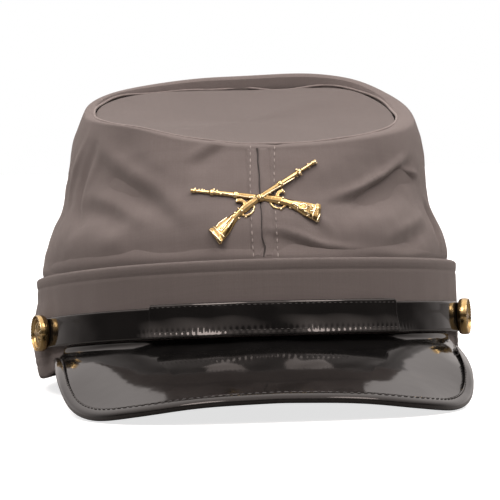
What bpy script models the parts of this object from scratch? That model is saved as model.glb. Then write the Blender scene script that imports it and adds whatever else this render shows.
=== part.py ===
"""A soft cotton kepi cap, built from its sewn and cast pieces.

Cap frame: +X to the viewer's right, -Y to the front, +Z up, Z = 0 at the foot of the headband.
The whole cap is then tipped back so that it lies as it would by itself: on the two front corners
of its peak and on the foot of the headband at the back.
All lengths are metres, all angles degrees.
"""

import math

import bmesh
import bpy
from mathutils import Matrix, Vector

# Head opening and headband
HEAD_HALF_WIDTH = 0.084
HEAD_HALF_DEPTH = 0.097
BAND_THICKNESS = 0.0025
BAND_HEIGHT = 0.038
BAND_EDGE_ROUND = 0.0004
BAND_REST_FLAT = 0.0012
BAND_TWIST = 0.0012
CLEARANCE = 0.0003

# Crown wall: the section table's outward columns are shares of CROWN_SLUMP
CLOTH_THICKNESS = 0.0016
CROWN_TUCK = 0.007
CROWN_SLUMP = 0.004

# Flat top of the crown
TOP_HALF_WIDTH = 0.0617
TOP_HALF_LENGTH = 0.0565
TOP_SQUARENESS = 2.15
TOP_SQUARENESS_BACK = 2.7
TOP_SLANT = 18.3
TOP_LEAN = 1.2
TOP_TURN = 3.0
TOP_SHIFT = -0.0002
TOP_FRONT_RISE = 0.0438
TOP_FRONT_SETBACK = 0.0190
TOP_SAG = 0.0015
TOP_WARP_RISE = 0.0044
ROLL_WIDTH_FRONT = 0.0038
ROLL_WIDTH_SIDE = 0.0080
ROLL_WIDTH_BACK = 0.0062
ROLL_RISE_FRONT = 0.0019
ROLL_RISE_SIDE = 0.0017
ROLL_RISE_BACK = 0.0058
ROLL_CREST_ANGLE = 170.0
ROLL_CREST_SPREAD = 32.0
ROLL_SLACK_LEFT = 0.0034

# Folds: the fold table's widths and depths are shares of these two
FOLD_WIDTH = 0.007
FOLD_DEPTH = 0.0032

# Peak and its binding
PEAK_ROOT_ANGLE = 60.5
PEAK_ROOT_HEIGHT = 0.0050
PEAK_FLANGE = 0.0037
PEAK_THICKNESS = 0.0018
PEAK_HALF_WIDTH = 0.943 * HEAD_HALF_WIDTH
PEAK_REACH = 0.0560
PEAK_DROP = 0.0248
PEAK_SQUARENESS = 3.3
PEAK_CAMBER = 0.0010
BINDING_WIDTH = 0.0048
BINDING_LEAF = 0.0006

# Chin strap and the stitched layer over its middle
STRAP_HEIGHT = 0.0120
STRAP_THICKNESS = 0.0014
STRAP_MIDDLE = 0.0150
STRAP_CENTRE_HALF = 0.0443
STRAP_CENTRE_SHIFT = 0.0036
STRAP_CENTRE_HEIGHT = 0.0130
STRAP_CENTRE_THICKNESS = 0.0016

# Side buttons
BUTTON_ANGLE = 71.0
BUTTON_RADIUS = 0.0074
BUTTON_DOME = 0.0040
BUTTON_STAR = 0.0006
SHANK_RADIUS = 0.0014
SHANK_END = 0.0010

# Crossed-rifles badge and its hidden post
RIFLE_LENGTH = 0.0495
RIFLE_RELIEF = 0.0012
RIFLE_GIRTH = 1.0
RIFLE_CROSS = 20.5
BADGE_TILT = 12.0
BADGE_SIDE = -0.0002
BADGE_RISE = 0.0234
BADGE_STANDOFF = 0.0007
POST_RADIUS = 0.0010
POST_HEAD_RADIUS = 0.0040
POST_HEAD = 0.0010

# Fineness of the faceted solids
COLUMNS = 72
FRONT_CROWDING = 0.28
PEAK_COLUMNS = 40
STRAP_COLUMNS = 30
BUTTON_SIDES = 20

# Crown wall sections between the band and the shoulder:
# (rise: share of the way up, then the outward slump at -X, at +X, at the front and at the back)
CROWN_SECTIONS = (
    (0.04, 0.60, 0.50, 0.30, 0.40),
    (0.13, 0.55, 0.40, 0.25, 0.50),
    (0.25, 0.15, -0.20, 0.10, 0.65),
    (0.35, -0.25, -0.70, 0.15, 0.85),
    (0.46, -0.22, -0.62, 0.25, 1.05),
    (0.58, 0.05, -0.30, 0.25, 1.10),
    (0.71, 0.25, -0.05, 0.20, 0.90),
    (0.86, 0.30, 0.08, 0.10, 0.50),
)

# Warp of the soft top's edge: (angle, lift as a share of TOP_WARP_RISE)
TOP_WARP = (
    (-180, 0.22),
    (-155, 0.16),
    (-128, 0.16),
    (-105, 0.05),
    (-88, 0.00),
    (-68, 0.28),
    (-42, 0.70),
    (-20, 0.34),
    (0, 0.00),
    (45, 0.12),
    (75, 0.00),
    (95, 0.06),
    (115, 0.42),
    (138, 0.90),
    (160, 0.66),
    (180, 0.22),
)

# Folds of the soft wall, each a valley with a lip along its upper side:
# (start angle, start rise, end angle, end rise, width, depth, lip)
CROWN_FOLDS = (
    (-49, 0.86, -24, 0.22, 1.35, 0.80, 0.20),
    (-72, 0.66, -46, 0.80, 0.90, 0.75, 0.35),
    (-62, 0.90, -74, 0.30, 0.75, 0.60, 0.30),
    (-50, 0.30, -38, 0.26, 0.80, 0.40, 0.10),
    (-24, 0.90, -10, 1.00, 0.80, 0.35, 0.10),
    (19, 0.44, 50, 0.80, 1.10, 1.10, 0.40),
    (48, 0.66, 63, 0.58, 0.60, 0.60, 0.40),
    (1, 0.12, 27, 0.03, 0.50, 0.45, 0.35),
    (42, 0.10, 55, 0.30, 0.80, 0.65, 0.30),
    (53, 0.34, 66, 0.10, 0.55, 0.50, 0.30),
    (9, 0.24, 17, 0.30, 0.50, 0.25, 0.10),
    (96, 0.62, 122, 0.34, 1.30, 0.80, 0.25),
    (-98, 0.48, -126, 0.66, 1.25, 0.85, 0.25),
    (-150, 0.30, -178, 0.46, 1.50, 0.80, 0.20),
    (146, 0.74, 170, 0.60, 1.20, 0.70, 0.20),
    (132, 0.20, 160, 0.14, 0.90, 0.60, 0.25),
)

# Edge of the peak: (share of the way from the front to the root, drop as a share of PEAK_DROP)
PEAK_EDGE = (
    (0.00, 0.81),
    (0.18, 0.85),
    (0.34, 0.96),
    (0.46, 1.00),
    (0.58, 0.86),
    (0.72, 0.52),
    (0.86, 0.28),
    (1.00, 0.12),
)

# A rifle from butt plate to muzzle, in shares of RIFLE_LENGTH:
# (along, height of the middle line, half height, relief as a share of RIFLE_RELIEF)
RIFLE_STATIONS = (
    (0.000, -0.060, 0.070, 0.80),
    (0.022, -0.060, 0.074, 1.00),
    (0.045, -0.058, 0.064, 0.80),
    (0.120, -0.044, 0.054, 1.00),
    (0.200, -0.024, 0.036, 1.05),
    (0.260, -0.012, 0.026, 1.00),
    (0.310, -0.004, 0.032, 1.15),
    (0.390, 0.000, 0.030, 1.10),
    (0.440, 0.000, 0.023, 0.95),
    (0.446, 0.000, 0.030, 1.20),
    (0.470, 0.000, 0.030, 1.20),
    (0.476, 0.000, 0.022, 0.90),
    (0.640, 0.000, 0.020, 0.85),
    (0.646, 0.000, 0.028, 1.10),
    (0.668, 0.000, 0.028, 1.10),
    (0.674, 0.000, 0.019, 0.80),
    (0.820, 0.000, 0.018, 0.75),
    (0.826, 0.000, 0.025, 1.00),
    (0.848, 0.000, 0.025, 1.00),
    (0.854, 0.000, 0.014, 0.65),
    (0.960, 0.000, 0.013, 0.60),
    (0.965, 0.000, 0.018, 0.75),
    (1.000, 0.000, 0.016, 0.70),
)

# Button face from its rim to its middle: (share of the radius, share of the dome, share of the star)
BUTTON_PROFILE = (
    (0.93, 0.00, 0.0),
    (1.00, 0.22, 0.0),
    (0.95, 0.46, 0.0),
    (0.82, 0.50, 0.0),
    (0.76, 0.38, 0.0),
    (0.56, 0.62, 1.0),
    (0.28, 0.84, 1.0),
)


def clear_scene():
    for old in list(bpy.data.objects):
        bpy.data.objects.remove(old, do_unlink=True)


def make_material(name, colour, metallic, roughness):
    material = bpy.data.materials.new(name)
    material.use_nodes = True
    shader = material.node_tree.nodes["Principled BSDF"]
    shader.inputs["Base Color"].default_value = (*colour, 1.0)
    shader.inputs["Metallic"].default_value = metallic
    shader.inputs["Roughness"].default_value = roughness
    return material


def add_object(name, bm, material, sharp_angle=40.0):
    """Turn a bmesh into a named object with outward faces."""
    bmesh.ops.recalc_face_normals(bm, faces=bm.faces)
    if bm.calc_volume(signed=True) < 0:
        bmesh.ops.reverse_faces(bm, faces=bm.faces)
    mesh = bpy.data.meshes.new(name)
    bm.to_mesh(mesh)
    bm.free()
    mesh.materials.append(material)
    mesh.shade_smooth()
    mesh.set_sharp_from_angle(angle=math.radians(sharp_angle))
    piece = bpy.data.objects.new(name, mesh)
    bpy.context.scene.collection.objects.link(piece)
    return piece


def smoothstep(low, high, value):
    share = min(1.0, max(0.0, (value - low) / (high - low)))
    return share * share * (3.0 - 2.0 * share)


def mix(first, second, share):
    return first + (second - first) * share


def smooth_table(rows, at):
    """Read a two-column table with a smooth curve through its rows."""
    last = len(rows) - 1
    for place in range(last):
        if at <= rows[place + 1][0] or place == last - 1:
            break
    x0, y0 = rows[place]
    x1, y1 = rows[place + 1]
    before = rows[max(place - 1, 0)]
    after = rows[min(place + 2, last)]
    slope0 = (y1 - before[1]) / (x1 - before[0])
    slope1 = (after[1] - y0) / (after[0] - x0)
    share = (at - x0) / (x1 - x0)
    width = x1 - x0
    square = share * share
    cube = square * share
    return ((2 * cube - 3 * square + 1) * y0 + (cube - 2 * square + share) * width * slope0
            + (3 * square - 2 * cube) * y1 + (cube - square) * width * slope1)


def shell(outer, inner, wrap):
    """Close two equal grids of points, rows by columns, into one walled solid."""
    bm = bmesh.new()
    outer_verts = [[bm.verts.new(point) for point in row] for row in outer]
    inner_verts = [[bm.verts.new(point) for point in row] for row in inner]
    rows = len(outer)
    columns = len(outer[0])
    for row in range(rows - 1):
        for column in range(columns if wrap else columns - 1):
            side = (column + 1) % columns
            for grid, turn in ((outer_verts, 1), (inner_verts, -1)):
                quad = (grid[row][column], grid[row][side], grid[row + 1][side], grid[row + 1][column])
                bm.faces.new(quad[::turn])
    for column in range(columns if wrap else columns - 1):
        side = (column + 1) % columns
        for row, turn in ((0, -1), (rows - 1, 1)):
            quad = (outer_verts[row][column], outer_verts[row][side],
                    inner_verts[row][side], inner_verts[row][column])
            bm.faces.new(quad[::turn])
    if not wrap:
        for row in range(rows - 1):
            for column, turn in ((0, 1), (columns - 1, -1)):
                quad = (outer_verts[row][column], outer_verts[row + 1][column],
                        inner_verts[row + 1][column], inner_verts[row][column])
                bm.faces.new(quad[::turn])
    return bm


def loft(sections):
    """Skin a list of equal closed loops and cap both ends."""
    bm = bmesh.new()
    loops = [[bm.verts.new(point) for point in section] for section in sections]
    count = len(loops[0])
    for first, second in zip(loops, loops[1:]):
        for place in range(count):
            side = (place + 1) % count
            bm.faces.new((first[place], first[side], second[side], second[place]))
    bm.faces.new(loops[0][::-1])
    bm.faces.new(loops[-1])
    return bm


def grid_normals(grid, wrap):
    """Unit normals of a grid of points, from each point's neighbours."""
    rows = len(grid)
    columns = len(grid[0])
    normals = []
    for row in range(rows):
        line = []
        for column in range(columns):
            left = (column - 1) % columns if wrap else max(column - 1, 0)
            right = (column + 1) % columns if wrap else min(column + 1, columns - 1)
            along = grid[row][right] - grid[row][left]
            up = grid[min(row + 1, rows - 1)][column] - grid[max(row - 1, 0)][column]
            line.append(along.cross(up).normalized())
        normals.append(line)
    return normals


def even_points(curve, count):
    """Points at even distances along curve(share), a function of 0 to 1."""
    fine = 40 * count
    points = [curve(place / fine) for place in range(fine + 1)]
    lengths = [0.0]
    for first, second in zip(points, points[1:]):
        lengths.append(lengths[-1] + (second - first).length)
    result = []
    place = 0
    for step in range(count + 1):
        target = lengths[-1] * step / count
        while place < fine - 1 and lengths[place + 1] < target:
            place += 1
        part = (target - lengths[place]) / (lengths[place + 1] - lengths[place])
        result.append(points[place].lerp(points[place + 1], part))
    return result


def oval(angle, offset, height=0.0):
    """A point of the head oval grown by offset; angle 0 is the front, +90 is at +X.

    The soft band is twisted a little: it sits lower at -X than at +X."""
    return Vector(((HEAD_HALF_WIDTH + offset) * math.sin(angle),
                   -(HEAD_HALF_DEPTH + offset) * math.cos(angle),
                   height + BAND_TWIST * math.sin(angle) ** 3))


def oval_outward(angle):
    return Vector((math.sin(angle) / HEAD_HALF_WIDTH, -math.cos(angle) / HEAD_HALF_DEPTH, 0.0)).normalized()


def column_angles():
    """Angles round the cap, closer together at the front where the folds are."""
    angles = []
    for column in range(COLUMNS):
        even = 2.0 * math.pi * column / COLUMNS
        angles.append(even - FRONT_CROWDING * math.sin(even))
    return angles


# Shape of the crown

def top_point(angle, out, up):
    """A point by the seam of the flat top: out from the seam in its plane, and up along its normal."""
    slant = math.radians(TOP_SLANT)
    sine = math.sin(angle)
    cosine = math.cos(angle)
    power = 2.0 / (TOP_SQUARENESS if cosine > 0.0 else TOP_SQUARENESS_BACK)
    up += TOP_WARP_RISE * smooth_table(TOP_WARP, (math.degrees(angle) + 180.0) % 360.0 - 180.0)
    side = math.copysign(abs(sine) ** power, sine) * (TOP_HALF_WIDTH + out)
    back = -math.copysign(abs(cosine) ** power, cosine) * (TOP_HALF_LENGTH + out)
    lean = math.radians(TOP_LEAN)
    turn = math.radians(TOP_TURN)
    side, back = (side * math.cos(turn) + back * math.sin(turn),
                  back * math.cos(turn) - side * math.sin(turn))
    front = Vector((TOP_SHIFT, TOP_FRONT_SETBACK - HEAD_HALF_DEPTH, BAND_HEIGHT + TOP_FRONT_RISE))
    along = Vector((0.0, math.cos(slant), math.sin(slant)))
    across = Vector((math.cos(lean), 0.0, -math.sin(lean)))
    normal = across.cross(along).normalized()
    return front + along * (TOP_HALF_LENGTH + back) + across * side + normal * up


def roll_at(angle):
    """Width and rise of the rolled shoulder, and how far its inner end stands above the seam."""
    facing = math.cos(angle)
    width = mix(ROLL_WIDTH_FRONT, ROLL_WIDTH_SIDE, smoothstep(0.80, 0.0, facing))
    width = mix(width, ROLL_WIDTH_BACK, smoothstep(-0.05, -0.70, facing))
    width -= ROLL_SLACK_LEFT * smoothstep(0.30, 0.95, -math.sin(angle))
    openness = smoothstep(0.25, -0.50, facing)
    turn = (math.degrees(angle) - ROLL_CREST_ANGLE + 180.0) % 360.0 - 180.0
    crest = math.exp(-(turn / ROLL_CREST_SPREAD) ** 2)
    rise = mix(ROLL_RISE_FRONT, mix(ROLL_RISE_SIDE, ROLL_RISE_BACK, crest), openness)
    seam = mix(0.90 * ROLL_RISE_FRONT, 0.0, openness)
    return width, rise, seam


def fold_depth(angle, rise, wall_height):
    """Inward depth of all folds at one place of the wall."""
    reach = 0.5 * (HEAD_HALF_WIDTH + TOP_HALF_WIDTH)
    depth = 0.0
    for start, low, end, high, width, deep, lip in CROWN_FOLDS:
        ahead = (math.radians(end - start)) * reach
        climb = (high - low) * wall_height
        turn = (math.degrees(angle) - start + 180.0) % 360.0 - 180.0
        along = math.radians(turn) * reach
        above = (rise - low) * wall_height
        length = math.hypot(ahead, climb)
        run = (along * ahead + above * climb) / length
        across = (above * ahead - along * climb) / length
        across = math.copysign(1.0, ahead) * across / (width * FOLD_WIDTH)
        ends = smoothstep(-0.30, 0.25, run / length) * smoothstep(1.30, 0.75, run / length)
        valley = math.exp(-across * across)
        ridge = math.exp(-((across - 1.5) / 0.7) ** 2)
        depth += FOLD_DEPTH * deep * ends * (valley - lip * ridge)
    return depth


def wall_point(angle, rise, slump, folded=True):
    """A point of the wall's outer face between the band and the shoulder."""
    low = oval(angle, -CLEARANCE, BAND_HEIGHT)
    width, _, _ = roll_at(angle)
    high = top_point(angle, width, 0.0)
    point = low.lerp(high, rise) + oval_outward(angle) * slump * CROWN_SLUMP
    if folded:
        fade = smoothstep(0.0, 0.07, rise) * smoothstep(1.0, 0.90, rise)
        point -= oval_outward(angle) * fold_depth(angle, rise, high.z - low.z) * fade
    return point


def slump_at(angle, rise):
    """The outward slump at any height, from the section table's columns."""
    left = max(0.0, -math.sin(angle)) ** 2
    right = max(0.0, math.sin(angle)) ** 2
    front = max(0.0, math.cos(angle)) ** 2
    back = max(0.0, -math.cos(angle)) ** 2
    rows = [(0.0, 0.0)]
    for at, at_left, at_right, at_front, at_back in CROWN_SECTIONS:
        rows.append((at, left * at_left + right * at_right + front * at_front + back * at_back))
    rows.append((1.0, 0.0))
    return smooth_table(rows, rise)


def front_wall(across, height):
    """The smooth wall's outer point at a given X and Z on the front, and its outward normal."""
    def solve(x, z):
        angle = x / HEAD_HALF_WIDTH
        rise = (z - BAND_HEIGHT) / TOP_FRONT_RISE
        for _ in range(12):
            point = wall_point(angle, rise, slump_at(angle, rise), folded=False)
            angle += (x - point.x) / HEAD_HALF_WIDTH
            rise += (z - point.z) / (TOP_FRONT_RISE * 1.1)
        return wall_point(angle, rise, slump_at(angle, rise), folded=False)
    step = 0.001
    point = solve(across, height)
    along = solve(across + step, height) - solve(across - step, height)
    up = solve(across, height + step) - solve(across, height - step)
    return point, along.cross(up).normalized()


def build_crown_wall(cloth):
    angles = column_angles()
    low = [oval(angle, -CLEARANCE, BAND_HEIGHT - CROWN_TUCK) for angle in angles]
    lip = [oval(angle, -CLEARANCE, BAND_HEIGHT + 2.0 * CLEARANCE) for angle in angles]
    outer = [low, lip]
    for rise, *_ in CROWN_SECTIONS:
        outer.append([wall_point(angle, rise, slump_at(angle, rise)) for angle in angles])
    shoulder = []
    for angle in angles:
        width, _, _ = roll_at(angle)
        shoulder.append(top_point(angle, width, 0.0))
    normals = grid_normals(outer + [shoulder], wrap=True)
    inner = []
    for row, line in enumerate(outer):
        if row < 2:
            height = BAND_HEIGHT + (2.0 * CLEARANCE if row else -CROWN_TUCK)
            inner.append([oval(angle, -CLEARANCE - CLOTH_THICKNESS, height) for angle in angles])
        else:
            inner.append([point - normal * CLOTH_THICKNESS for point, normal in zip(line, normals[row])])
    for turn in (0.0, 45.0, 90.0, 135.0, 180.0):
        outer.append([roll_point(angle, turn, 0.0) for angle in angles])
        inner.append([roll_point(angle, turn, CLOTH_THICKNESS) for angle in angles])
    outer.append([seam_end(angle, 0.0) for angle in angles])
    inner.append([seam_end(angle, CLOTH_THICKNESS) for angle in angles])
    return add_object("crown_wall", shell(outer, inner, wrap=True), cloth)


def roll_point(angle, turn, depth):
    """The rolled shoulder as half an oval, from its outer side over its crest to the seam."""
    width, rise, seam = roll_at(angle)
    swing = math.radians(turn)
    out = 0.5 * width + (0.5 * width - depth) * math.cos(swing)
    up = (rise - depth) * math.sin(swing)
    if turn > 90.0:
        flat = mix(rise, seam, (turn - 90.0) / 90.0) - depth
        up = max(up, flat) if seam > 0.5 * rise or turn == 180.0 else up
    return top_point(angle, out, up)


def seam_end(angle, depth):
    """The cut edge of the wall, turned down beside the flat top."""
    _, _, seam = roll_at(angle)
    return top_point(angle, depth, seam - CLOTH_THICKNESS - CLEARANCE)


def build_crown_top(cloth):
    """The flat top, a little sunken, with its edge just inside the wall's turned-down end."""
    bm = bmesh.new()
    angles = column_angles()
    faces = {}
    for side, drop in (("top", 0.0), ("under", CLOTH_THICKNESS)):
        rings = []
        for share in (1.0, 0.80, 0.55, 0.28):
            ring = []
            for angle in angles:
                _, _, seam = roll_at(angle)
                edge = top_point(angle, -CLEARANCE, 0.0)
                middle = top_point(0.0, -TOP_HALF_LENGTH, 0.0)
                level = seam * share ** 3 - TOP_SAG * (1.0 - share * share) - drop
                lift = top_point(angle, 0.0, level) - top_point(angle, 0.0, 0.0)
                ring.append(bm.verts.new(middle.lerp(edge, share) + lift))
            rings.append(ring)
        centre = bm.verts.new(top_point(0.0, -TOP_HALF_LENGTH, -TOP_SAG - drop))
        faces[side] = rings[0]
        for column in range(COLUMNS):
            beside = (column + 1) % COLUMNS
            for outer, inner in zip(rings, rings[1:]):
                bm.faces.new((outer[column], outer[beside], inner[beside], inner[column]))
            bm.faces.new((rings[-1][column], rings[-1][beside], centre))
    for column in range(COLUMNS):
        beside = (column + 1) % COLUMNS
        bm.faces.new((faces["top"][column], faces["under"][column],
                      faces["under"][beside], faces["top"][beside]))
    return add_object("crown_top", bm, cloth)


def build_headband(cloth, rest):
    """The band, its foot pressed flat where the cap lies on it."""
    angles = column_angles()
    heights = (0.0, 0.08, 0.92, 1.0)
    tucks = (BAND_EDGE_ROUND, 0.0, 0.0, BAND_EDGE_ROUND)
    outer = []
    inner = []
    for share, tuck in zip(heights, tucks):
        outer.append([oval(angle, BAND_THICKNESS - tuck, share * BAND_HEIGHT) for angle in angles])
        inner.append([oval(angle, 0.0, share * BAND_HEIGHT) for angle in angles])
    for row in outer + inner:
        for point in row:
            point.z = max(point.z, rest.floor_height(point.y))
    return add_object("headband", shell(outer, inner, wrap=True), cloth)


# Shape of the peak

def peak_edge_line():
    """The free edge of the peak from its -X root to its +X root."""
    root = oval(math.radians(PEAK_ROOT_ANGLE), BAND_THICKNESS + CLEARANCE + 0.5 * PEAK_THICKNESS)
    front = -(HEAD_HALF_DEPTH + BAND_THICKNESS + PEAK_REACH)
    power = 2.0 / PEAK_SQUARENESS

    def plan(share):
        swing = math.pi * (share - 0.5)
        side = math.copysign(abs(math.sin(swing)) ** power, swing) * PEAK_HALF_WIDTH
        ahead = root.y + (front - root.y) * abs(math.cos(swing)) ** power
        return Vector((side, ahead, 0.0))

    points = even_points(plan, PEAK_COLUMNS)
    for place, point in enumerate(points):
        share = abs(2.0 * place / PEAK_COLUMNS - 1.0)
        point.z = PEAK_ROOT_HEIGHT - PEAK_DROP * smooth_table(PEAK_EDGE, share)
    return points


def peak_middle_surface():
    """Rows of the peak's middle surface: flange top, flange foot, then out to the edge.

    The row before the last runs where the binding's inner edge lies."""
    offset = BAND_THICKNESS + CLEARANCE + 0.5 * PEAK_THICKNESS
    flange_top = []
    flange_foot = []
    plate = [[] for _ in range(6)]
    for place, edge in enumerate(peak_edge_line()):
        angle = math.radians(PEAK_ROOT_ANGLE) * (2.0 * place / PEAK_COLUMNS - 1.0)
        flange_top.append(oval(angle, offset, PEAK_ROOT_HEIGHT + PEAK_FLANGE))
        flange_foot.append(oval(angle, offset, PEAK_ROOT_HEIGHT + 0.4 * PEAK_THICKNESS))
        root = oval(angle, offset + 0.5 * PEAK_THICKNESS, PEAK_ROOT_HEIGHT)
        length = (edge - root).length
        border = 1.0 - min(BINDING_WIDTH, 0.45 * length) / length
        straight = root.lerp(edge, border)
        for row, share in enumerate((0.16, 0.42, 0.70, 0.90)):
            point = root.lerp(straight, share)
            point.z += PEAK_CAMBER * math.sin(math.pi * share) * length / PEAK_REACH
            plate[row].append(point)
        plate[4].append(straight)
        plate[5].append(edge)
    return [flange_top, flange_foot] + plate


def build_peak(patent):
    middle = peak_middle_surface()
    normals = grid_normals(middle, wrap=False)
    half = 0.5 * PEAK_THICKNESS
    upper = []
    lower = []
    for line, directions in zip(middle, normals):
        upper.append([point - normal * half for point, normal in zip(line, directions)])
        lower.append([point + normal * half for point, normal in zip(line, directions)])
    return add_object("peak", shell(upper, lower, wrap=False), patent)


def build_peak_binding(patent):
    """A folded strip whose two leaves lie over and under the edge of the peak."""
    middle = peak_middle_surface()
    normals = grid_normals(middle, wrap=False)
    near = 0.5 * PEAK_THICKNESS + CLEARANCE
    far = near + BINDING_LEAF
    sections = []
    for column in range(PEAK_COLUMNS + 1):
        inset = middle[-2][column]
        edge = middle[-1][column]
        over = -normals[-2][column]
        rim = -normals[-1][column]
        ahead = (edge - inset).normalized()
        nose = edge + ahead * (CLEARANCE + 2.0 * BINDING_LEAF)
        bend = edge + ahead * CLEARANCE
        sections.append([inset + over * far, bend + rim * far, nose, bend - rim * far,
                         inset - over * far, inset - over * near, bend - rim * near,
                         bend + rim * near, inset + over * near])
    return add_object("peak_binding", loft(sections), patent, sharp_angle=60.0)


# Strap, buttons and badge

def strap_section(angle, inner, thickness, half_height, middle):
    """Cross section of a strap on the band, with its outer edges eased."""
    ease = min(0.3 * thickness, 0.3 * half_height)
    corners = (
        (inner, -half_height),
        (inner, half_height),
        (inner + thickness - ease, half_height),
        (inner + thickness, half_height - ease),
        (inner + thickness, ease - half_height),
        (inner + thickness - ease, -half_height),
    )
    return [oval(angle, offset, middle + rise) for offset, rise in corners]


def build_chin_strap(patent):
    """The strap from button to button; each end is round about its button."""
    round_ends = 5
    half = 0.5 * STRAP_HEIGHT
    reach = HEAD_HALF_DEPTH
    last = math.radians(BUTTON_ANGLE)
    stops = []
    for step in range(round_ends, 0, -1):
        swing = 0.5 * math.pi * step / (round_ends + 0.3)
        stops.append((-last - half * math.sin(swing) / reach, half * math.cos(swing)))
    for step in range(STRAP_COLUMNS + 1):
        stops.append((last * (2.0 * step / STRAP_COLUMNS - 1.0), half))
    stops += [(-angle, height) for angle, height in reversed(stops[:round_ends])]
    inner = BAND_THICKNESS + CLEARANCE
    sections = [strap_section(angle, inner, STRAP_THICKNESS, height, STRAP_MIDDLE) for angle, height in stops]
    return add_object("chin_strap", loft(sections), patent)


def build_strap_centre(patent):
    """The stitched layer over the middle of the strap."""
    inner = BAND_THICKNESS + STRAP_THICKNESS + 2.0 * CLEARANCE
    low = math.asin((STRAP_CENTRE_SHIFT - STRAP_CENTRE_HALF) / HEAD_HALF_WIDTH)
    high = math.asin((STRAP_CENTRE_SHIFT + STRAP_CENTRE_HALF) / HEAD_HALF_WIDTH)
    count = STRAP_COLUMNS // 2
    sections = []
    for step in range(count + 1):
        angle = mix(low, high, step / count)
        sections.append(strap_section(angle, inner, STRAP_CENTRE_THICKNESS, 0.5 * STRAP_CENTRE_HEIGHT,
                                      STRAP_MIDDLE + 0.5 * (STRAP_CENTRE_HEIGHT - STRAP_HEIGHT)))
    return add_object("strap_centre", loft(sections), patent)


def turned(profile, sides):
    """A solid turned about +Z from (radius, height, star) rows, closed at both ends on the axis."""
    bm = bmesh.new()
    first = bm.verts.new((0.0, 0.0, profile[0][1]))
    last = bm.verts.new((0.0, 0.0, profile[-1][1]))
    rings = []
    for radius, height, star in profile[1:-1]:
        ring = []
        for side in range(sides):
            swing = 2.0 * math.pi * side / sides
            point = 0.5 + 0.5 * math.cos(5.0 * swing)
            ring.append(bm.verts.new((radius * math.cos(swing), radius * math.sin(swing), height + star * point)))
        rings.append(ring)
    for side in range(sides):
        beside = (side + 1) % sides
        bm.faces.new((first, rings[0][beside], rings[0][side]))
        bm.faces.new((last, rings[-1][side], rings[-1][beside]))
        for low, high in zip(rings, rings[1:]):
            bm.faces.new((low[side], low[beside], high[beside], high[side]))
    return bm


def outward_matrix(place, outward):
    """A frame at place whose +Z looks outward and whose +Y stays as upright as it can."""
    side = Vector((0.0, 0.0, 1.0)).cross(outward).normalized()
    upright = outward.cross(side)
    turn = Matrix((side, upright, outward)).transposed().to_4x4()
    return Matrix.Translation(place) @ turn


def cut_hole(piece, place, outward, radius, length):
    """Leave a round hole in a piece, made by a hidden cutter."""
    bm = bmesh.new()
    bmesh.ops.create_cone(bm, cap_ends=True, segments=8, radius1=radius, radius2=radius, depth=length)
    cutter = add_object(piece.name + "_cutter", bm, piece.data.materials[0])
    cutter.matrix_basis = outward_matrix(place, outward)
    cutter.hide_render = True
    cutter.display_type = "WIRE"
    hole = piece.modifiers.new("hole", "BOOLEAN")
    hole.operation = "DIFFERENCE"
    hole.object = cutter
    return cutter


def build_button(name, side, brass):
    """A domed button with a rim, a raised star and the shank that holds it."""
    seat = BAND_THICKNESS + STRAP_THICKNESS + 2.0 * CLEARANCE
    angle = side * math.radians(BUTTON_ANGLE)
    shank = -(seat + SHANK_END)
    profile = [(0.0, shank, 0.0), (SHANK_RADIUS, shank, 0.0), (SHANK_RADIUS, 0.0, 0.0)]
    for radius, height, star in BUTTON_PROFILE:
        profile.append((radius * BUTTON_RADIUS, height * BUTTON_DOME, star * BUTTON_STAR))
    profile.append((0.0, BUTTON_DOME, 0.0))
    button = add_object(name, turned(profile, BUTTON_SIDES), brass, sharp_angle=50.0)
    button.matrix_basis = outward_matrix(oval(angle, seat, STRAP_MIDDLE), oval_outward(angle))
    return button


def button_hole(piece, side, rest_of_name):
    """The hole for a button's shank in the strap or the band."""
    angle = side * math.radians(BUTTON_ANGLE)
    place = oval(angle, 0.5 * BAND_THICKNESS, STRAP_MIDDLE)
    cutter = cut_hole(piece, place, oval_outward(angle), SHANK_RADIUS + CLEARANCE,
                      4.0 * (BAND_THICKNESS + STRAP_THICKNESS))
    cutter.name = piece.name + rest_of_name
    return cutter


def rifle(lift):
    """One rifle lying along +X from its butt, flat back at Z = 0, muzzle at RIFLE_LENGTH."""
    sections = []
    for along, middle, half, relief in RIFLE_STATIONS:
        x = along * RIFLE_LENGTH
        y = middle * RIFLE_LENGTH
        tall = half * RIFLE_LENGTH * RIFLE_GIRTH
        high = relief * RIFLE_RELIEF + lift
        sections.append([Vector((x, y - tall, 0.0)), Vector((x, y - tall, 0.55 * high)),
                         Vector((x, y - 0.5 * tall, high)), Vector((x, y + 0.5 * tall, high)),
                         Vector((x, y + tall, 0.55 * high)), Vector((x, y + tall, 0.0))])
    return loft(sections)


def bar(points, width, high):
    """A small flat-backed bar along points of the badge's plane, for hammer and trigger guard."""
    sections = []
    for place, point in enumerate(points):
        ahead = points[min(place + 1, len(points) - 1)] - points[max(place - 1, 0)]
        across = Vector((-ahead.y, ahead.x, 0.0)).normalized() * 0.5 * width
        rise = Vector((0.0, 0.0, high))
        sections.append([point - across, point + across, point + across + rise, point - across + rise])
    return loft(sections)


def rifle_hammer(lift):
    length = RIFLE_LENGTH
    points = [Vector((0.35 * length, 0.010 * length, 0.0)), Vector((0.335 * length, 0.055 * length, 0.0)),
              Vector((0.300 * length, 0.080 * length, 0.0))]
    return bar(points, 0.028 * length, 0.8 * RIFLE_RELIEF + lift)


def rifle_guard(lift):
    length = RIFLE_LENGTH
    points = []
    for step in range(7):
        swing = math.pi * step / 6.0
        points.append(Vector(((0.33 + 0.062 * math.cos(swing)) * length,
                              (-0.018 - 0.050 * math.sin(swing)) * length, 0.0)))
    return bar(points, 0.016 * length, 0.6 * RIFLE_RELIEF + lift)


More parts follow.
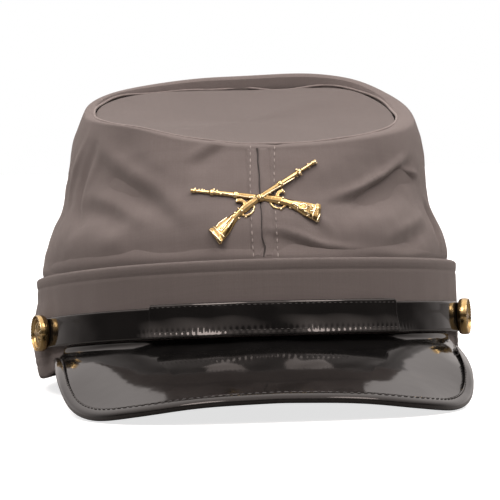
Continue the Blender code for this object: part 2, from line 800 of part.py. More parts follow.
def union(first, second):
    """Fuse the second object into the first and drop the second."""
    join = first.modifiers.new("join", "BOOLEAN")
    join.operation = "UNION"
    join.object = second
    graph = bpy.context.evaluated_depsgraph_get()
    mesh = bpy.data.meshes.new_from_object(first.evaluated_get(graph))
    first.modifiers.clear()
    first.data = mesh
    bpy.data.objects.remove(second, do_unlink=True)


def build_badge(brass):
    """Two rifles cast as one, crossing at their middles, bent to the front of the wall."""
    casting = None
    middle = Vector((0.47 * RIFLE_LENGTH, 0.0, 0.0))
    for direction, lift in ((-1.0, 0.0), (1.0, 0.5 * RIFLE_RELIEF)):
        for make in (rifle, rifle_hammer, rifle_guard):
            bm = make(lift)
            bmesh.ops.translate(bm, verts=bm.verts, vec=-middle)
            if direction < 0.0:
                bmesh.ops.scale(bm, verts=bm.verts, vec=(-1.0, 1.0, 1.0))
            swing = direction * RIFLE_CROSS + BADGE_TILT
            bmesh.ops.rotate(bm, verts=bm.verts, matrix=Matrix.Rotation(math.radians(swing), 3, "Z"))
            piece = add_object("crossed_rifles_badge", bm, brass)
            if casting is None:
                casting = piece
            else:
                union(casting, piece)
    casting.name = "crossed_rifles_badge"
    height = BAND_HEIGHT + BADGE_RISE
    for vertex in casting.data.vertices:
        place, outward = front_wall(BADGE_SIDE + vertex.co.x, height + vertex.co.y)
        vertex.co = place + outward * (BADGE_STANDOFF + vertex.co.z)
    return casting


def build_badge_post(brass):
    """The plain post behind the badge, with a round head inside the crown."""
    place, outward = front_wall(BADGE_SIDE, BAND_HEIGHT + BADGE_RISE)
    inside = -(CLOTH_THICKNESS + CLEARANCE)
    profile = [(0.0, inside - POST_HEAD, 0.0), (POST_HEAD_RADIUS, inside - POST_HEAD, 0.0),
               (POST_HEAD_RADIUS, inside, 0.0), (POST_RADIUS, inside, 0.0),
               (POST_RADIUS, BADGE_STANDOFF - CLEARANCE, 0.0), (0.0, BADGE_STANDOFF - CLEARANCE, 0.0)]
    post = add_object("badge_post", turned(profile, BUTTON_SIDES // 2), brass)
    post.matrix_basis = outward_matrix(place, outward)
    return post


class Rest:
    """How the cap lies: on the corners of its peak and on the back of its band's foot."""

    def __init__(self, binding):
        back = HEAD_HALF_DEPTH + BAND_THICKNESS - BAND_EDGE_ROUND
        self.heel = Vector((0.0, back, BAND_REST_FLAT))
        tips = [vertex.co for vertex in binding.data.vertices]
        self.pitch = max(math.atan2(self.heel.z - tip.z, self.heel.y - tip.y) for tip in tips)

    def floor_height(self, y):
        return self.heel.z - (self.heel.y - y) * math.tan(self.pitch)


def lay_down(pieces, rest):
    """Tip the cap onto its rest and put the middle of its footprint at the origin."""
    pose = bpy.data.objects.new("cap_rest", None)
    bpy.context.scene.collection.objects.link(pose)
    turn = Matrix.Rotation(-rest.pitch, 4, "X")
    corners = []
    for piece in pieces:
        if not piece.hide_render:
            corners += [turn @ piece.matrix_basis @ vertex.co for vertex in piece.data.vertices]
    low = [min(corner[axis] for corner in corners) for axis in range(3)]
    high = [max(corner[axis] for corner in corners) for axis in range(3)]
    shift = Vector((-0.5 * (low[0] + high[0]), -0.5 * (low[1] + high[1]), -(turn @ rest.heel).z))
    pose.matrix_basis = Matrix.Translation(shift) @ turn
    for piece in pieces:
        piece.parent = pose
    return pose


def main():
    clear_scene()
    cloth = make_material("taupe_cotton", (0.150, 0.125, 0.115), 0.0, 0.9)
    patent = make_material("black_patent", (0.012, 0.011, 0.010), 0.0, 0.12)
    brass = make_material("gilt_brass", (0.80, 0.56, 0.22), 1.0, 0.22)

    crown_wall = build_crown_wall(cloth)
    crown_top = build_crown_top(cloth)
    peak = build_peak(patent)
    binding = build_peak_binding(patent)
    rest = Rest(binding)
    headband = build_headband(cloth, rest)
    strap = build_chin_strap(patent)
    strap_centre = build_strap_centre(patent)
    left = build_button("button_left", -1.0, brass)
    right = build_button("button_right", 1.0, brass)
    badge = build_badge(brass)
    post = build_badge_post(brass)

    cutters = []
    for side, ending in ((-1.0, "_left_hole"), (1.0, "_right_hole")):
        cutters.append(button_hole(headband, side, ending))
        cutters.append(button_hole(strap, side, ending))
    place, outward = front_wall(BADGE_SIDE, BAND_HEIGHT + BADGE_RISE)
    cutters.append(cut_hole(crown_wall, place, outward, POST_RADIUS + CLEARANCE, 8.0 * CLOTH_THICKNESS))

    pieces = [crown_wall, crown_top, headband, peak, binding, strap, strap_centre, left, right, badge, post]
    pose = lay_down(pieces + cutters, rest)
    print("rest pitch", math.degrees(rest.pitch), "placed at", [round(value, 5) for value in pose.location])
    for piece in pieces:
        print(piece.name, len(piece.data.polygons))


main()
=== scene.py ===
# %% [markdown]
# # A soft cotton kepi with a patent peak
#
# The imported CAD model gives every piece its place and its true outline. This script turns it into a
# picture: each cloth piece gets its folds, seams and weave, the patent pieces get their gloss, the
# gilt pieces get their relief, and a camera looks from where the photographer stood.
#
# All lengths are in metres unless a name ends in `_MM` or `_DEG`. Places read off the photograph are in
# its pixels, 500 across and 500 down, and are thrown back along the camera's line onto the cap.

import math

import bmesh
import bpy
import numpy as np
from mathutils import Matrix, Vector
from mathutils.bvhtree import BVHTree


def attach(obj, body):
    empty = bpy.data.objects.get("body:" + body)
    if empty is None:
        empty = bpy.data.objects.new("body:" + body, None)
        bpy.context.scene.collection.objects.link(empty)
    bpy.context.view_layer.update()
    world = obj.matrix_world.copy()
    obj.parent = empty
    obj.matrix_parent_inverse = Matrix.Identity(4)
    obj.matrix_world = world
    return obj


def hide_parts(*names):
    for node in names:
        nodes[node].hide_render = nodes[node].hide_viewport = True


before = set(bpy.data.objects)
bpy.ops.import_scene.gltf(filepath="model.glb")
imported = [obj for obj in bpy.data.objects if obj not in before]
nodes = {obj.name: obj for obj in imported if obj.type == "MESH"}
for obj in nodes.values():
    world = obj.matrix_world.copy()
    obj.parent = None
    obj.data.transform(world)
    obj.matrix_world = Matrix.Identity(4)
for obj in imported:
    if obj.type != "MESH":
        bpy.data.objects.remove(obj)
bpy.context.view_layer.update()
MM = 0.001
CLOTH_RADIUS = 0.085
COLUMN_GAP_DEG = 0.35
print("CAD nodes:", ", ".join(sorted(nodes)))

# %% [markdown]
# ## Where the cap lies and where the camera stands
#
# A cap laid down by itself tips back until the rear of its band and the front corners of its peak
# touch the table. `cap` turns the cap's own upright frame, with the foot of the band at height zero,
# into that resting frame. The camera was fitted to the photograph in the cap's own frame.

# %% Cap frame and camera
CAP_TIP_DEG = 5.584
CAP_PLACE = Vector((-0.00006, 0.02763, 0.00845))
PICTURE = 500
VIEW_AZIMUTH_DEG = -4.1
VIEW_ELEVATION_DEG = -3.15
VIEW_ROLL_DEG = 1.73
VIEW_DISTANCE = 1.0536
VIEW_TARGET = Vector((0.0, 0.0, 0.045))
FOCAL_PIXELS = 2531.7
CENTRE_ACROSS = 245.4
CENTRE_DOWN = 255.0
SENSOR_MM = 36.0

cap = Matrix.Translation(CAP_PLACE) @ Matrix.Rotation(-math.radians(CAP_TIP_DEG), 4, "X")
cap_back = cap.inverted()


def placed(name, data):
    """A new object of the scene."""
    obj = bpy.data.objects.new(name, data)
    bpy.context.scene.collection.objects.link(obj)
    return obj


def fitted_camera():
    """The camera's place and turn in the resting frame."""
    turn = math.radians(VIEW_AZIMUTH_DEG)
    rise = math.radians(VIEW_ELEVATION_DEG)
    roll = math.radians(VIEW_ROLL_DEG)
    back = Vector((math.sin(turn) * math.cos(rise), -math.cos(turn) * math.cos(rise), math.sin(rise)))
    right = Vector((math.cos(turn), math.sin(turn), 0.0))
    up = back.cross(right)
    across = right * math.cos(roll) - up * math.sin(roll)
    above = right * math.sin(roll) + up * math.cos(roll)
    turned = Matrix((across, above, back)).transposed().to_4x4()
    return cap @ Matrix.Translation(VIEW_TARGET + back * VIEW_DISTANCE) @ turned


camera_data = bpy.data.cameras.new("camera")
camera_data.sensor_width = SENSOR_MM
camera_data.lens = FOCAL_PIXELS / PICTURE * SENSOR_MM
camera_data.shift_x = (PICTURE / 2 - CENTRE_ACROSS) / PICTURE
camera_data.shift_y = (CENTRE_DOWN - PICTURE / 2) / PICTURE
camera_data.clip_start = 0.05
camera_data.clip_end = 50.0
camera = placed("camera", camera_data)
camera.matrix_world = fitted_camera()
bpy.context.scene.camera = camera
eye = camera.matrix_world.translation.copy()
print("Camera at", [round(v, 3) for v in eye])


def seen(across, down, tree):
    """The point of a surface that the photograph shows at a pixel, if there is one."""
    ray = Vector(((across - CENTRE_ACROSS) / FOCAL_PIXELS, (CENTRE_DOWN - down) / FOCAL_PIXELS, -1.0))
    return tree.ray_cast(eye, camera.matrix_world.to_3x3() @ ray.normalized())[0]


# %% [markdown]
# ## Small tools for meshes
#
# A CAD node arrives as loose triangles. `joined` welds them and pairs them into quads, and `refined`
# rounds the quads by subdivision. Everything a piece needs afterwards, such as its material and its
# place on the cap's one body, is done by `finished`.

# %% Mesh tools
def bmesh_of(mesh):
    work = bmesh.new()
    work.from_mesh(mesh)
    return work


def mesh_of(work, name):
    """A mesh from a bmesh, which is freed."""
    mesh = bpy.data.meshes.new(name)
    work.to_mesh(mesh)
    work.free()
    return mesh


def joined(node):
    """A bmesh of a CAD node, its triangles welded and paired into quads."""
    work = bmesh_of(nodes[node].data)
    bmesh.ops.remove_doubles(work, verts=work.verts, dist=0.00001)
    bmesh.ops.join_triangles(work, faces=work.faces, angle_face_threshold=math.radians(60),
                             angle_shape_threshold=math.radians(60))
    bmesh.ops.recalc_face_normals(work, faces=work.faces)
    return work


def realised(obj):
    """The mesh of an object as its modifiers leave it; the object itself is removed."""
    bpy.context.view_layer.update()
    mesh = bpy.data.meshes.new_from_object(obj.evaluated_get(bpy.context.evaluated_depsgraph_get()))
    bpy.data.objects.remove(obj)
    return mesh


def refined(work, levels):
    """A mesh made from a bmesh by that many rounds of subdivision."""
    holder = placed("coarse", mesh_of(work, "coarse"))
    modifier = holder.modifiers.new("rounding", "SUBSURF")
    modifier.levels = modifier.render_levels = levels
    return realised(holder)


def read(items, field, width=1, kind=float):
    """One property of many mesh items, as an array."""
    values = np.zeros(len(items) * width, kind)
    items.foreach_get(field, values)
    return values.reshape(-1, width) if width > 1 else values


def points_of(mesh):
    return read(mesh.vertices, "co", 3)


def set_points(mesh, places):
    mesh.vertices.foreach_set("co", np.asarray(places, float).ravel())
    mesh.update()


def carried(places, matrix):
    return np.asarray(places, float) @ np.array(matrix.to_3x3()).T + np.array(matrix.translation)


def in_cap(places):
    """Points of the resting frame in the cap's own upright frame."""
    return carried(places, cap_back)


def out_of_cap(places):
    """Points of the cap's own frame in the resting frame."""
    return carried(places, cap)


def corners_of(node):
    """The welded corners of a CAD node in the cap's frame."""
    work = joined(node)
    places = in_cap(np.array([tuple(vert.co) for vert in work.verts]))
    work.free()
    return places


def turn_and_radius(places, middle=(0.0, 0.0)):
    """Turns in degrees from the front, and radii, of points round an upright axis."""
    across, ahead = places[:, 0] - middle[0], middle[1] - places[:, 1]
    return np.degrees(np.arctan2(across, ahead)), np.hypot(across, ahead)


def tree_of(mesh):
    work = bmesh_of(mesh)
    tree = BVHTree.FromBMesh(work)
    work.free()
    return tree


def evened(mesh, share, rounds):
    """Evens out a mesh wherever share is above zero, and leaves the rest as it is."""
    first, second = read(mesh.edges, "vertices", 2, np.int32).T
    count = len(mesh.vertices)
    friends = np.bincount(first, minlength=count) + np.bincount(second, minlength=count)
    places = points_of(mesh)
    for _ in range(rounds):
        total = np.stack([
            np.bincount(first, weights=places[second, axis], minlength=count)
            + np.bincount(second, weights=places[first, axis], minlength=count)
            for axis in range(3)], 1)
        places += share[:, None] * 0.5 * (total / friends[:, None] - places)
    set_points(mesh, places)


def columns_of(node, least):
    """Upright columns of a band-like CAD node in the cap's frame, sorted round the cap.

    Each row is the turn, the outer and inner radius, and the low and high edge. Stray columns at
    holes are left out, because they are shorter than `least`."""
    places = corners_of(node)
    turn, radius = turn_and_radius(places)
    order = np.argsort(turn)
    groups = np.split(order, np.flatnonzero(np.diff(turn[order]) > COLUMN_GAP_DEG) + 1)
    rows = []
    for group in groups:
        heights = places[group, 2]
        if heights.max() - heights.min() > least:
            rows.append((turn[group].mean(), radius[group].max(), radius[group].min(),
                         heights.min(), heights.max()))
    return np.array(rows)


def through(at, known, values, closed=False):
    """A smooth curve through known values, read at other places."""
    if closed:
        known = np.concatenate([known[-2:] - 360.0, known, known[:2] + 360.0])
        values = np.concatenate([values[-2:], values, values[:2]])
    slopes = np.gradient(values, known)
    index = np.clip(np.searchsorted(known, at) - 1, 0, len(known) - 2)
    width = known[index + 1] - known[index]
    share = np.clip((at - known[index]) / width, 0.0, 1.0)
    square, cube = share ** 2, share ** 3
    start, end = values[index], values[index + 1]
    bend = (cube - 2 * square + share) * slopes[index] + (cube - square) * slopes[index + 1]
    return start + (3 * square - 2 * cube) * (end - start) + width * bend


def grid_mesh(name, places, closed_round, closed_along=False):
    """A mesh from a grid of points: columns along the first axis, a closed section along the second."""
    index = np.arange(places.shape[0] * places.shape[1]).reshape(places.shape[:2])
    ends = [index[0].tolist(), index[-1, ::-1].tolist()] if closed_round and not closed_along else []
    if closed_along:
        index = np.vstack([index, index[:1]])
    if closed_round:
        index = np.hstack([index, index[:, :1]])
    faces = np.stack([index[:-1, :-1], index[1:, :-1], index[1:, 1:], index[:-1, 1:]], -1)
    mesh = bpy.data.meshes.new(name)
    mesh.from_pydata(places.reshape(-1, 3).tolist(), [], faces.reshape(-1, 4).tolist() + ends)
    work = bmesh_of(mesh)
    bmesh.ops.recalc_face_normals(work, faces=work.faces)
    work.to_mesh(mesh)
    work.free()
    return mesh


def on_band(turn, radius, height):
    """Points of the cap's frame from turns in degrees, radii and heights."""
    turn = np.radians(turn)
    return np.stack(np.broadcast_arrays(radius * np.sin(turn), -radius * np.cos(turn), height), -1)


def smooth_rise(low, high, value):
    share = np.clip((value - low) / (high - low), 0.0, 1.0)
    return share * share * (3.0 - 2.0 * share)


def finished(name, mesh, material, replaces=()):
    """An object of the scene from a finished mesh: shaded smooth, riding on the cap's one body."""
    places = points_of(mesh)
    places[:, 2] = np.maximum(places[:, 2], 0.0)
    set_points(mesh, places)
    obj = placed(name, mesh)
    mesh.shade_smooth()
    mesh.materials.clear()
    mesh.materials.append(material)
    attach(obj, "root")
    if replaces:
        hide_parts(*replaces)
    return obj


def cloth_map(mesh, places, level=False):
    """A map in metres, which the weave follows: round and up the cap, or across a level piece."""
    turn, radius = turn_and_radius(places)
    rise = places[:, 2] - radius
    layer = mesh.uv_layers.new(name="cloth")
    corners = read(mesh.loops, "vertex_index", kind=np.int32)
    if level:
        layer.data.foreach_set("uv", places[corners][:, :2].ravel())
        return
    turn = turn[corners]
    starts = read(mesh.polygons, "loop_start", kind=np.int32)
    first = np.repeat(turn[starts], read(mesh.polygons, "loop_total", kind=np.int32))
    turn = first + (turn - first + 180.0) % 360.0 - 180.0
    layer.data.foreach_set("uv", np.stack([np.radians(turn) * CLOTH_RADIUS, rise[corners]], 1).ravel())


# %% [markdown]
# ## Node tools
#
# `add` places one node, `feed` fills inputs with links or values, and `calc` does one sum. Effects
# that several materials share are node groups, and a group gives out only masks, values and heights.

# %% Node tools
def feed(tree, node, inputs):
    for key, value in inputs.items():
        if isinstance(value, bpy.types.NodeSocket):
            tree.links.new(value, node.inputs[key])
        else:
            node.inputs[key].default_value = value


def add(tree, kind, inputs=None, **settings):
    made = tree.nodes.new(kind)
    for name, value in settings.items():
        setattr(made, name, value)
    feed(tree, made, inputs or {})
    return made


def calc(tree, operation, first, second=0.0, third=0.0):
    return add(tree, "ShaderNodeMath", {0: first, 1: second, 2: third}, operation=operation).outputs[0]


def times(tree, first, second):
    return calc(tree, "MULTIPLY", first, second)


def noise(tree, place, scale, detail):
    return add(tree, "ShaderNodeTexNoise", {"Vector": place, "Scale": scale, "Detail": detail}).outputs[0]


def blend(tree, share, first, second):
    """A colour between two others."""
    return add(tree, "ShaderNodeMix", {0: share, 6: first, 7: second}, data_type="RGBA").outputs[2]


def span(tree, value, low, high, start=0.0, end=1.0):
    """A value moved from one range to another and held inside it."""
    return add(tree, "ShaderNodeMapRange", {0: value, 1: low, 2: high, 3: start, 4: end}).outputs[0]


def bumped(tree, height, distance=1.0, strength=1.0):
    return add(tree, "ShaderNodeBump",
               {"Height": height, "Distance": distance, "Strength": strength}).outputs[0]


def group_tree(name, inputs, outputs, kind="ShaderNodeTree"):
    """A node group with named inputs and outputs; a third word in an input is its usual value."""
    tree = bpy.data.node_groups.new(name, kind)
    for way, sockets in (("INPUT", inputs), ("OUTPUT", outputs)):
        for label, sort, *usual in sockets:
            socket = tree.interface.new_socket(label, in_out=way, socket_type="NodeSocket" + sort)
            if usual:
                socket.default_value = usual[0]
    return tree, tree.nodes.new("NodeGroupInput").outputs, tree.nodes.new("NodeGroupOutput")


def new_material(name):
    material = bpy.data.materials.new(name)
    material.use_nodes = True
    return material, material.node_tree, material.node_tree.nodes["Principled BSDF"]


# %% [markdown]
# ### Plain weave
#
# Warp and weft take turns on top, like a chess board with one thread to a square. The group gives the
# height of the threads and a value that differs a little from thread to thread.

# %% Weave group
def make_weave():
    tree, given, out = group_tree("plain weave", (("Map", "Vector"), ("Thread", "Float", 0.00045)),
                                  (("Height", "Float"), ("Slub", "Float")))
    parts = add(tree, "ShaderNodeSeparateXYZ", {0: given["Map"]})
    counts, bumps, slubs = [], [], []
    for part in parts.outputs[:2]:
        count = calc(tree, "DIVIDE", part, given["Thread"])
        thread = calc(tree, "FLOOR", count)
        counts.append(thread)
        bumps.append(calc(tree, "ABSOLUTE", calc(tree, "SINE", times(tree, count, math.pi))))
        slubs.append(add(tree, "ShaderNodeTexWhiteNoise", {1: thread}, noise_dimensions="1D").outputs[0])
    turn = calc(tree, "ABSOLUTE", calc(tree, "MODULO", calc(tree, "ADD", *counts), 2.0))
    warp = times(tree, bumps[0], calc(tree, "MULTIPLY_ADD", bumps[1], 0.5, 0.5))
    weft = times(tree, bumps[1], calc(tree, "MULTIPLY_ADD", bumps[0], 0.5, 0.5))
    height = calc(tree, "ADD", weft, times(tree, calc(tree, "SUBTRACT", warp, weft), turn))
    feed(tree, out, {"Height": height, "Slub": times(tree, calc(tree, "ADD", *slubs), 0.5)})
    return tree


weave = make_weave()
print("Weave group:", len(weave.nodes), "nodes")

# %% [markdown]
# ### Mottling and edge wear
#
# Dye never takes evenly and dust settles in patches, so two sizes of noise shift the colour. Edges
# that stick out rub pale, and hollows are marked for darkening: the bend of the surface itself picks them
# out. On the cloth that darkening is painted shade in the creases; on the gilt it is tarnish.

# %% Mottling and wear groups
def make_mottling():
    tree, given, out = group_tree("mottling", (("Place", "Vector"), ("Patch", "Float"), ("Grain", "Float")),
                                  (("Patches", "Float"), ("Grains", "Float")))
    patches = noise(tree, given["Place"], given["Patch"], 3.0)
    grains = noise(tree, given["Place"], given["Grain"], 4.0)
    feed(tree, out, {"Patches": span(tree, patches, 0.3, 0.7), "Grains": span(tree, grains, 0.3, 0.7)})
    return tree


def make_wear():
    tree, given, out = group_tree("edge wear", (("Place", "Vector"), ("Rough", "Float")),
                                  (("Edge", "Float"), ("Hollow", "Float")))
    bend = add(tree, "ShaderNodeNewGeometry").outputs["Pointiness"]
    broken = span(tree, noise(tree, given["Place"], given["Rough"], 5.0), 0.35, 0.65)
    # Hollow marks concave places: the cloth darkens them as painted shade, the gilt as tarnish.
    feed(tree, out, {"Edge": times(tree, span(tree, bend, 0.505, 0.56), broken),
                     "Hollow": span(tree, bend, 0.495, 0.44)})
    return tree


mottling = make_mottling()
wear = make_wear()


def ground(tree, patch, grain, rough):
    """The place on the object, its patches and grains, and its rubbed edges and hollows."""
    place = add(tree, "ShaderNodeTexCoord").outputs["Object"]
    spots = add(tree, "ShaderNodeGroup", {"Place": place, "Patch": patch, "Grain": grain},
                node_tree=mottling)
    rubbed = add(tree, "ShaderNodeGroup", {"Place": place, "Rough": rough}, node_tree=wear)
    return (place, *spots.outputs, *rubbed.outputs)


# %% [markdown]
# ### Cotton cloth
#
# A matt grey-brown cotton. The weave makes the bump, and a soft sheen stands for the fuzz on the threads.
# The gaps between the threads and the hollows of the folds are darkened a little as painted shade.

# %% Cloth material
CLOTH = (0.165, 0.137, 0.129)
CLOTH_DARK = (0.105, 0.087, 0.082)
CLOTH_PALE = (0.260, 0.226, 0.214)
CLOTH_THREAD = 0.00030


def make_cloth(name, tint=1.0):
    material, tree, surface = new_material(name)
    place, patches, grains, edge, hollow = ground(tree, 35.0, 1400.0, 500.0)
    cloth = add(tree, "ShaderNodeUVMap", uv_map="cloth").outputs[0]
    threads = add(tree, "ShaderNodeGroup", {"Map": cloth, "Thread": CLOTH_THREAD}, node_tree=weave).outputs
    colour, dark, pale = ([tint * channel for channel in shade] + [1.0]
                          for shade in (CLOTH, CLOTH_DARK, CLOTH_PALE))
    # Painted shade: the colour darkens in the gaps between the threads and in the hollows of the folds.
    thread_gap_shade = span(tree, threads["Height"], 0.35, 0.0)
    for mask, share, shade in ((patches, 0.22, dark), (threads["Slub"], 0.16, pale), (thread_gap_shade, 0.35, dark),
                               (grains, 0.18, dark), (hollow, 0.55, dark), (edge, 0.40, pale)):
        colour = blend(tree, times(tree, mask, share), colour, shade)
    height = calc(tree, "ADD", times(tree, threads["Height"], 0.00007),
                  times(tree, noise(tree, place, 2600.0, 3.0), 0.00006))
    feed(tree, surface, {
        "Base Color": colour, "Normal": bumped(tree, height, 1.0, 0.8), "Roughness": 0.92,
        "Specular IOR Level": 0.22, "Sheen Weight": 0.22, "Sheen Roughness": 0.55,
        "Sheen Tint": (0.85, 0.78, 0.74, 1.0)})
    return material


cotton = make_cloth("taupe cotton")
# The top and the band are the same cotton tinted darker, as painted shade against the light they catch; the
# welt is tinted paler, as a painted highlight.
cotton_top_shaded = make_cloth("taupe cotton, top, painted shade", tint=0.72)
cotton_band_shaded = make_cloth("taupe cotton, band, painted shade", tint=0.74)
cotton_welt_highlit = make_cloth("taupe cotton, welt, painted highlight", tint=1.3)

# %% [markdown]
# ### Patent sheet
#
# Black under a clear hard gloss. Real patent is never quite flat: a slow waviness bends what it
# reflects, and fine scratches break the brightest lights.

# %% Patent material
PATENT_GLOSS = 0.07


def make_patent(name, wave=0.00025, dome=0.0, shine=0.36):
    """Patent sheet; `dome` bends its shine outwards beside the middle, as a sprung sheet does."""
    material, tree, surface = new_material(name)
    place, patches, grains, edge, _ = ground(tree, 90.0, 1500.0, 900.0)
    colour = blend(tree, patches, (0.0040, 0.0038, 0.0038, 1.0), (0.0070, 0.0066, 0.0064, 1.0))
    colour = blend(tree, times(tree, edge, 0.25), colour, (0.05, 0.047, 0.045, 1.0))
    height = calc(tree, "ADD", times(tree, noise(tree, place, 45.0, 2.0), wave),
                  times(tree, noise(tree, place, 1500.0, 2.0), 0.000004))
    across = calc(tree, "ABSOLUTE", add(tree, "ShaderNodeSeparateXYZ", {0: place}).outputs[0])
    outer = calc(tree, "MAXIMUM", calc(tree, "SUBTRACT", across, 0.012), 0.0)
    height = calc(tree, "SUBTRACT", height, times(tree, times(tree, outer, outer), dome))
    bump = bumped(tree, height)
    feed(tree, surface, {
        "Base Color": colour, "Normal": bump, "Coat Normal": bump,
        "Roughness": span(tree, grains, 0.0, 1.0, PATENT_GLOSS * 0.7, PATENT_GLOSS * 1.6),
        "Specular IOR Level": shine, "Specular Tint": (1.0, 0.91, 0.87, 1.0),
        "Coat Weight": 0.05, "Coat Roughness": 0.04})
    return material


patent = make_patent("black patent", dome=2.1)
patent_strap = make_patent("black patent, strap", wave=0.0005, shine=0.50)

# %% [markdown]
# ### Gilt
#
# Brass with a thin gold wash. High places are polished by touch, and the hollows of the casting hold
# a brown tarnish.

# %% Gilt material
def make_gilt(name, high, low):
    material, tree, surface = new_material(name)
    _, patches, grains, edge, hollow = ground(tree, 220.0, 2500.0, 1500.0)
    closeness = add(tree, "ShaderNodeAmbientOcclusion", {"Distance": 0.0012}, samples=8)
    dirt = calc(tree, "MAXIMUM", span(tree, closeness.outputs["AO"], 0.90, 0.35), hollow)
    colour = blend(tree, edge, blend(tree, patches, high, low), (1.0, 0.86, 0.58, 1.0))
    colour = blend(tree, times(tree, dirt, 0.85), colour, (0.10, 0.055, 0.018, 1.0))
    feed(tree, surface, {
        "Base Color": colour, "Normal": bumped(tree, grains, 0.00003, 0.5), "Metallic": 1.0,
        "Roughness": span(tree, dirt, 0.0, 1.0, 0.13, 0.50)})
    return material


gilt = make_gilt("gilt brass", (0.56, 0.39, 0.17, 1.0), (0.38, 0.24, 0.09, 1.0))
# A paler copy of the gilt, a painted highlight for the chased relief of the badge.
gilt_highlight = make_gilt("gilt brass, painted highlight", (0.97, 0.80, 0.50, 1.0), (0.80, 0.58, 0.30, 1.0))

# %% [markdown]
# ### Sewing thread, and the painted shade of the seams
#
# Three colours: thread for the cloth and for the patent, and a near-black that lines the depth of the seams
# as painted shade.

# %% Thread materials
def make_thread(name, colour):
    material, tree, surface = new_material(name)
    _, patches, grains, _, _ = ground(tree, 400.0, 4000.0, 500.0)
    darker = tuple(channel * 0.6 for channel in colour[:3]) + (1.0,)
    feed(tree, surface, {"Base Color": blend(tree, patches, colour, darker), "Roughness": 0.7,
                         "Normal": bumped(tree, grains, 0.00005)})
    return material


thread_cloth = make_thread("thread for cloth", (0.36, 0.31, 0.29, 1.0))
seam_shade = make_thread("painted shade in seams", (0.035, 0.028, 0.026, 1.0))
thread_patent = make_thread("thread for patent", (0.055, 0.050, 0.048, 1.0))

# %% [markdown]
# ## Stitches
#
# One Geometry Nodes group sews every seam. It walks along a line, sets a short rounded thread at each
# step, turns it along the line and varies its length a little.

# %% Stitch group
# A stitch is given as its pitch, its length and the radius of its thread
CLOTH_STITCH = (0.0027, 0.0018, 0.00026)
BINDING_STITCH = (0.0026, 0.0018, 0.00030)
STRAP_STITCH = (0.0022, 0.0013, 0.00016)


def make_stitcher():
    tree, given, out = group_tree(
        "stitches",
        (("Line", "Geometry"), ("Pitch", "Float", 0.0025), ("Stitch Length", "Float", 0.0018),
         ("Thread Radius", "Float", 0.0003), ("Seed", "Int"), ("Thread", "Material")),
        (("Geometry", "Geometry"),), "GeometryNodeTree")
    curve = add(tree, "GeometryNodeMeshToCurve", {0: given["Line"]})
    steps = add(tree, "GeometryNodeResampleCurve", {"Curve": curve.outputs[0], "Length": given["Pitch"]},
                mode="LENGTH")
    tangent = tree.nodes.new("GeometryNodeInputTangent")
    facing = add(tree, "FunctionNodeAlignEulerToVector", {"Vector": tangent.outputs[0]}, axis="Z")
    ball = add(tree, "GeometryNodeMeshIcoSphere", {"Radius": 1.0, "Subdivisions": 2})
    shape = add(tree, "ShaderNodeCombineXYZ", {0: given["Thread Radius"], 1: given["Thread Radius"],
                                               2: times(tree, given["Stitch Length"], 0.5)})
    bead = add(tree, "GeometryNodeTransform", {"Geometry": ball.outputs[0], "Scale": shape.outputs[0]})
    vary = add(tree, "FunctionNodeRandomValue", {"Seed": given["Seed"], 2: 0.86, 3: 1.08},
               data_type="FLOAT")
    stitches = add(tree, "GeometryNodeInstanceOnPoints", {
        "Points": steps.outputs[0], "Instance": bead.outputs[0], "Rotation": facing.outputs[0],
        "Scale": vary.outputs[1]})
    real = add(tree, "GeometryNodeRealizeInstances", {0: stitches.outputs[0]})
    dressed = add(tree, "GeometryNodeSetMaterial", {"Geometry": real.outputs[0],
                                                    "Material": given["Thread"]})
    feed(tree, out, {0: dressed.outputs[0]})
    return tree


stitcher = make_stitcher()


def sew(name, lines, pitch, length, radius, thread, slot, seed):
    """Sews along one or more lines of points and gives one plain mesh of stitches."""
    mesh = bpy.data.meshes.new(name)
    points = []
    edges = []
    for line in lines:
        start = len(points)
        points.extend(tuple(point) for point in line)
        edges.extend((start + i, start + i + 1) for i in range(len(line) - 1))
    mesh.from_pydata(points, edges, [])
    holder = placed(name + "_line", mesh)
    modifier = holder.modifiers.new("stitches", "NODES")
    modifier.node_group = stitcher
    wanted = {"Pitch": pitch, "Stitch Length": length, "Thread Radius": radius, "Seed": seed,
              "Thread": thread}
    for item in stitcher.interface.items_tree:
        if item.in_out == "INPUT" and item.name in wanted:
            modifier[item.identifier] = wanted[item.name]
    sewn = realised(holder)
    finished(name, sewn, thread)
    print(f"{name}: {len(sewn.polygons)} faces")


# %% [markdown]
# ## Folds
#
# A fold is a line on the cloth. On one side of it the cloth drops away steeply, on the other gently,
# and a soft lip stands beside the steep side. Each row of the tables below names one fold: by pixels
# where the photograph shows it, and by turn and height round the rest of the crown.

# %% Fold tools
OUTSIDE = 0.14


def on_line(places, line):
    """For each place: the nearest point's share of the line, the distance, and the nearest segment."""
    line = np.array(line, float)
    lengths = np.linalg.norm(np.diff(line, axis=0), axis=1)
    reached = np.concatenate([[0.0], np.cumsum(lengths)])
    best = np.full(len(places), 1e9)
    share = np.zeros(len(places))
    segment = np.zeros(len(places), int)
    nearest = np.zeros((len(places), 3))
    for index, length in enumerate(lengths):
        ahead = (line[index + 1] - line[index]) / max(length, 1e-9)
        run = np.clip((places - line[index]) @ ahead, 0.0, length)
        foot = line[index] + run[:, None] * ahead
        gap = np.linalg.norm(places - foot, axis=1)
        closer = gap < best
        best = np.where(closer, gap, best)
        share = np.where(closer, (reached[index] + run) / reached[-1], share)
        segment = np.where(closer, index, segment)
        nearest = np.where(closer[:, None], foot, nearest)
    return share, best, segment, nearest


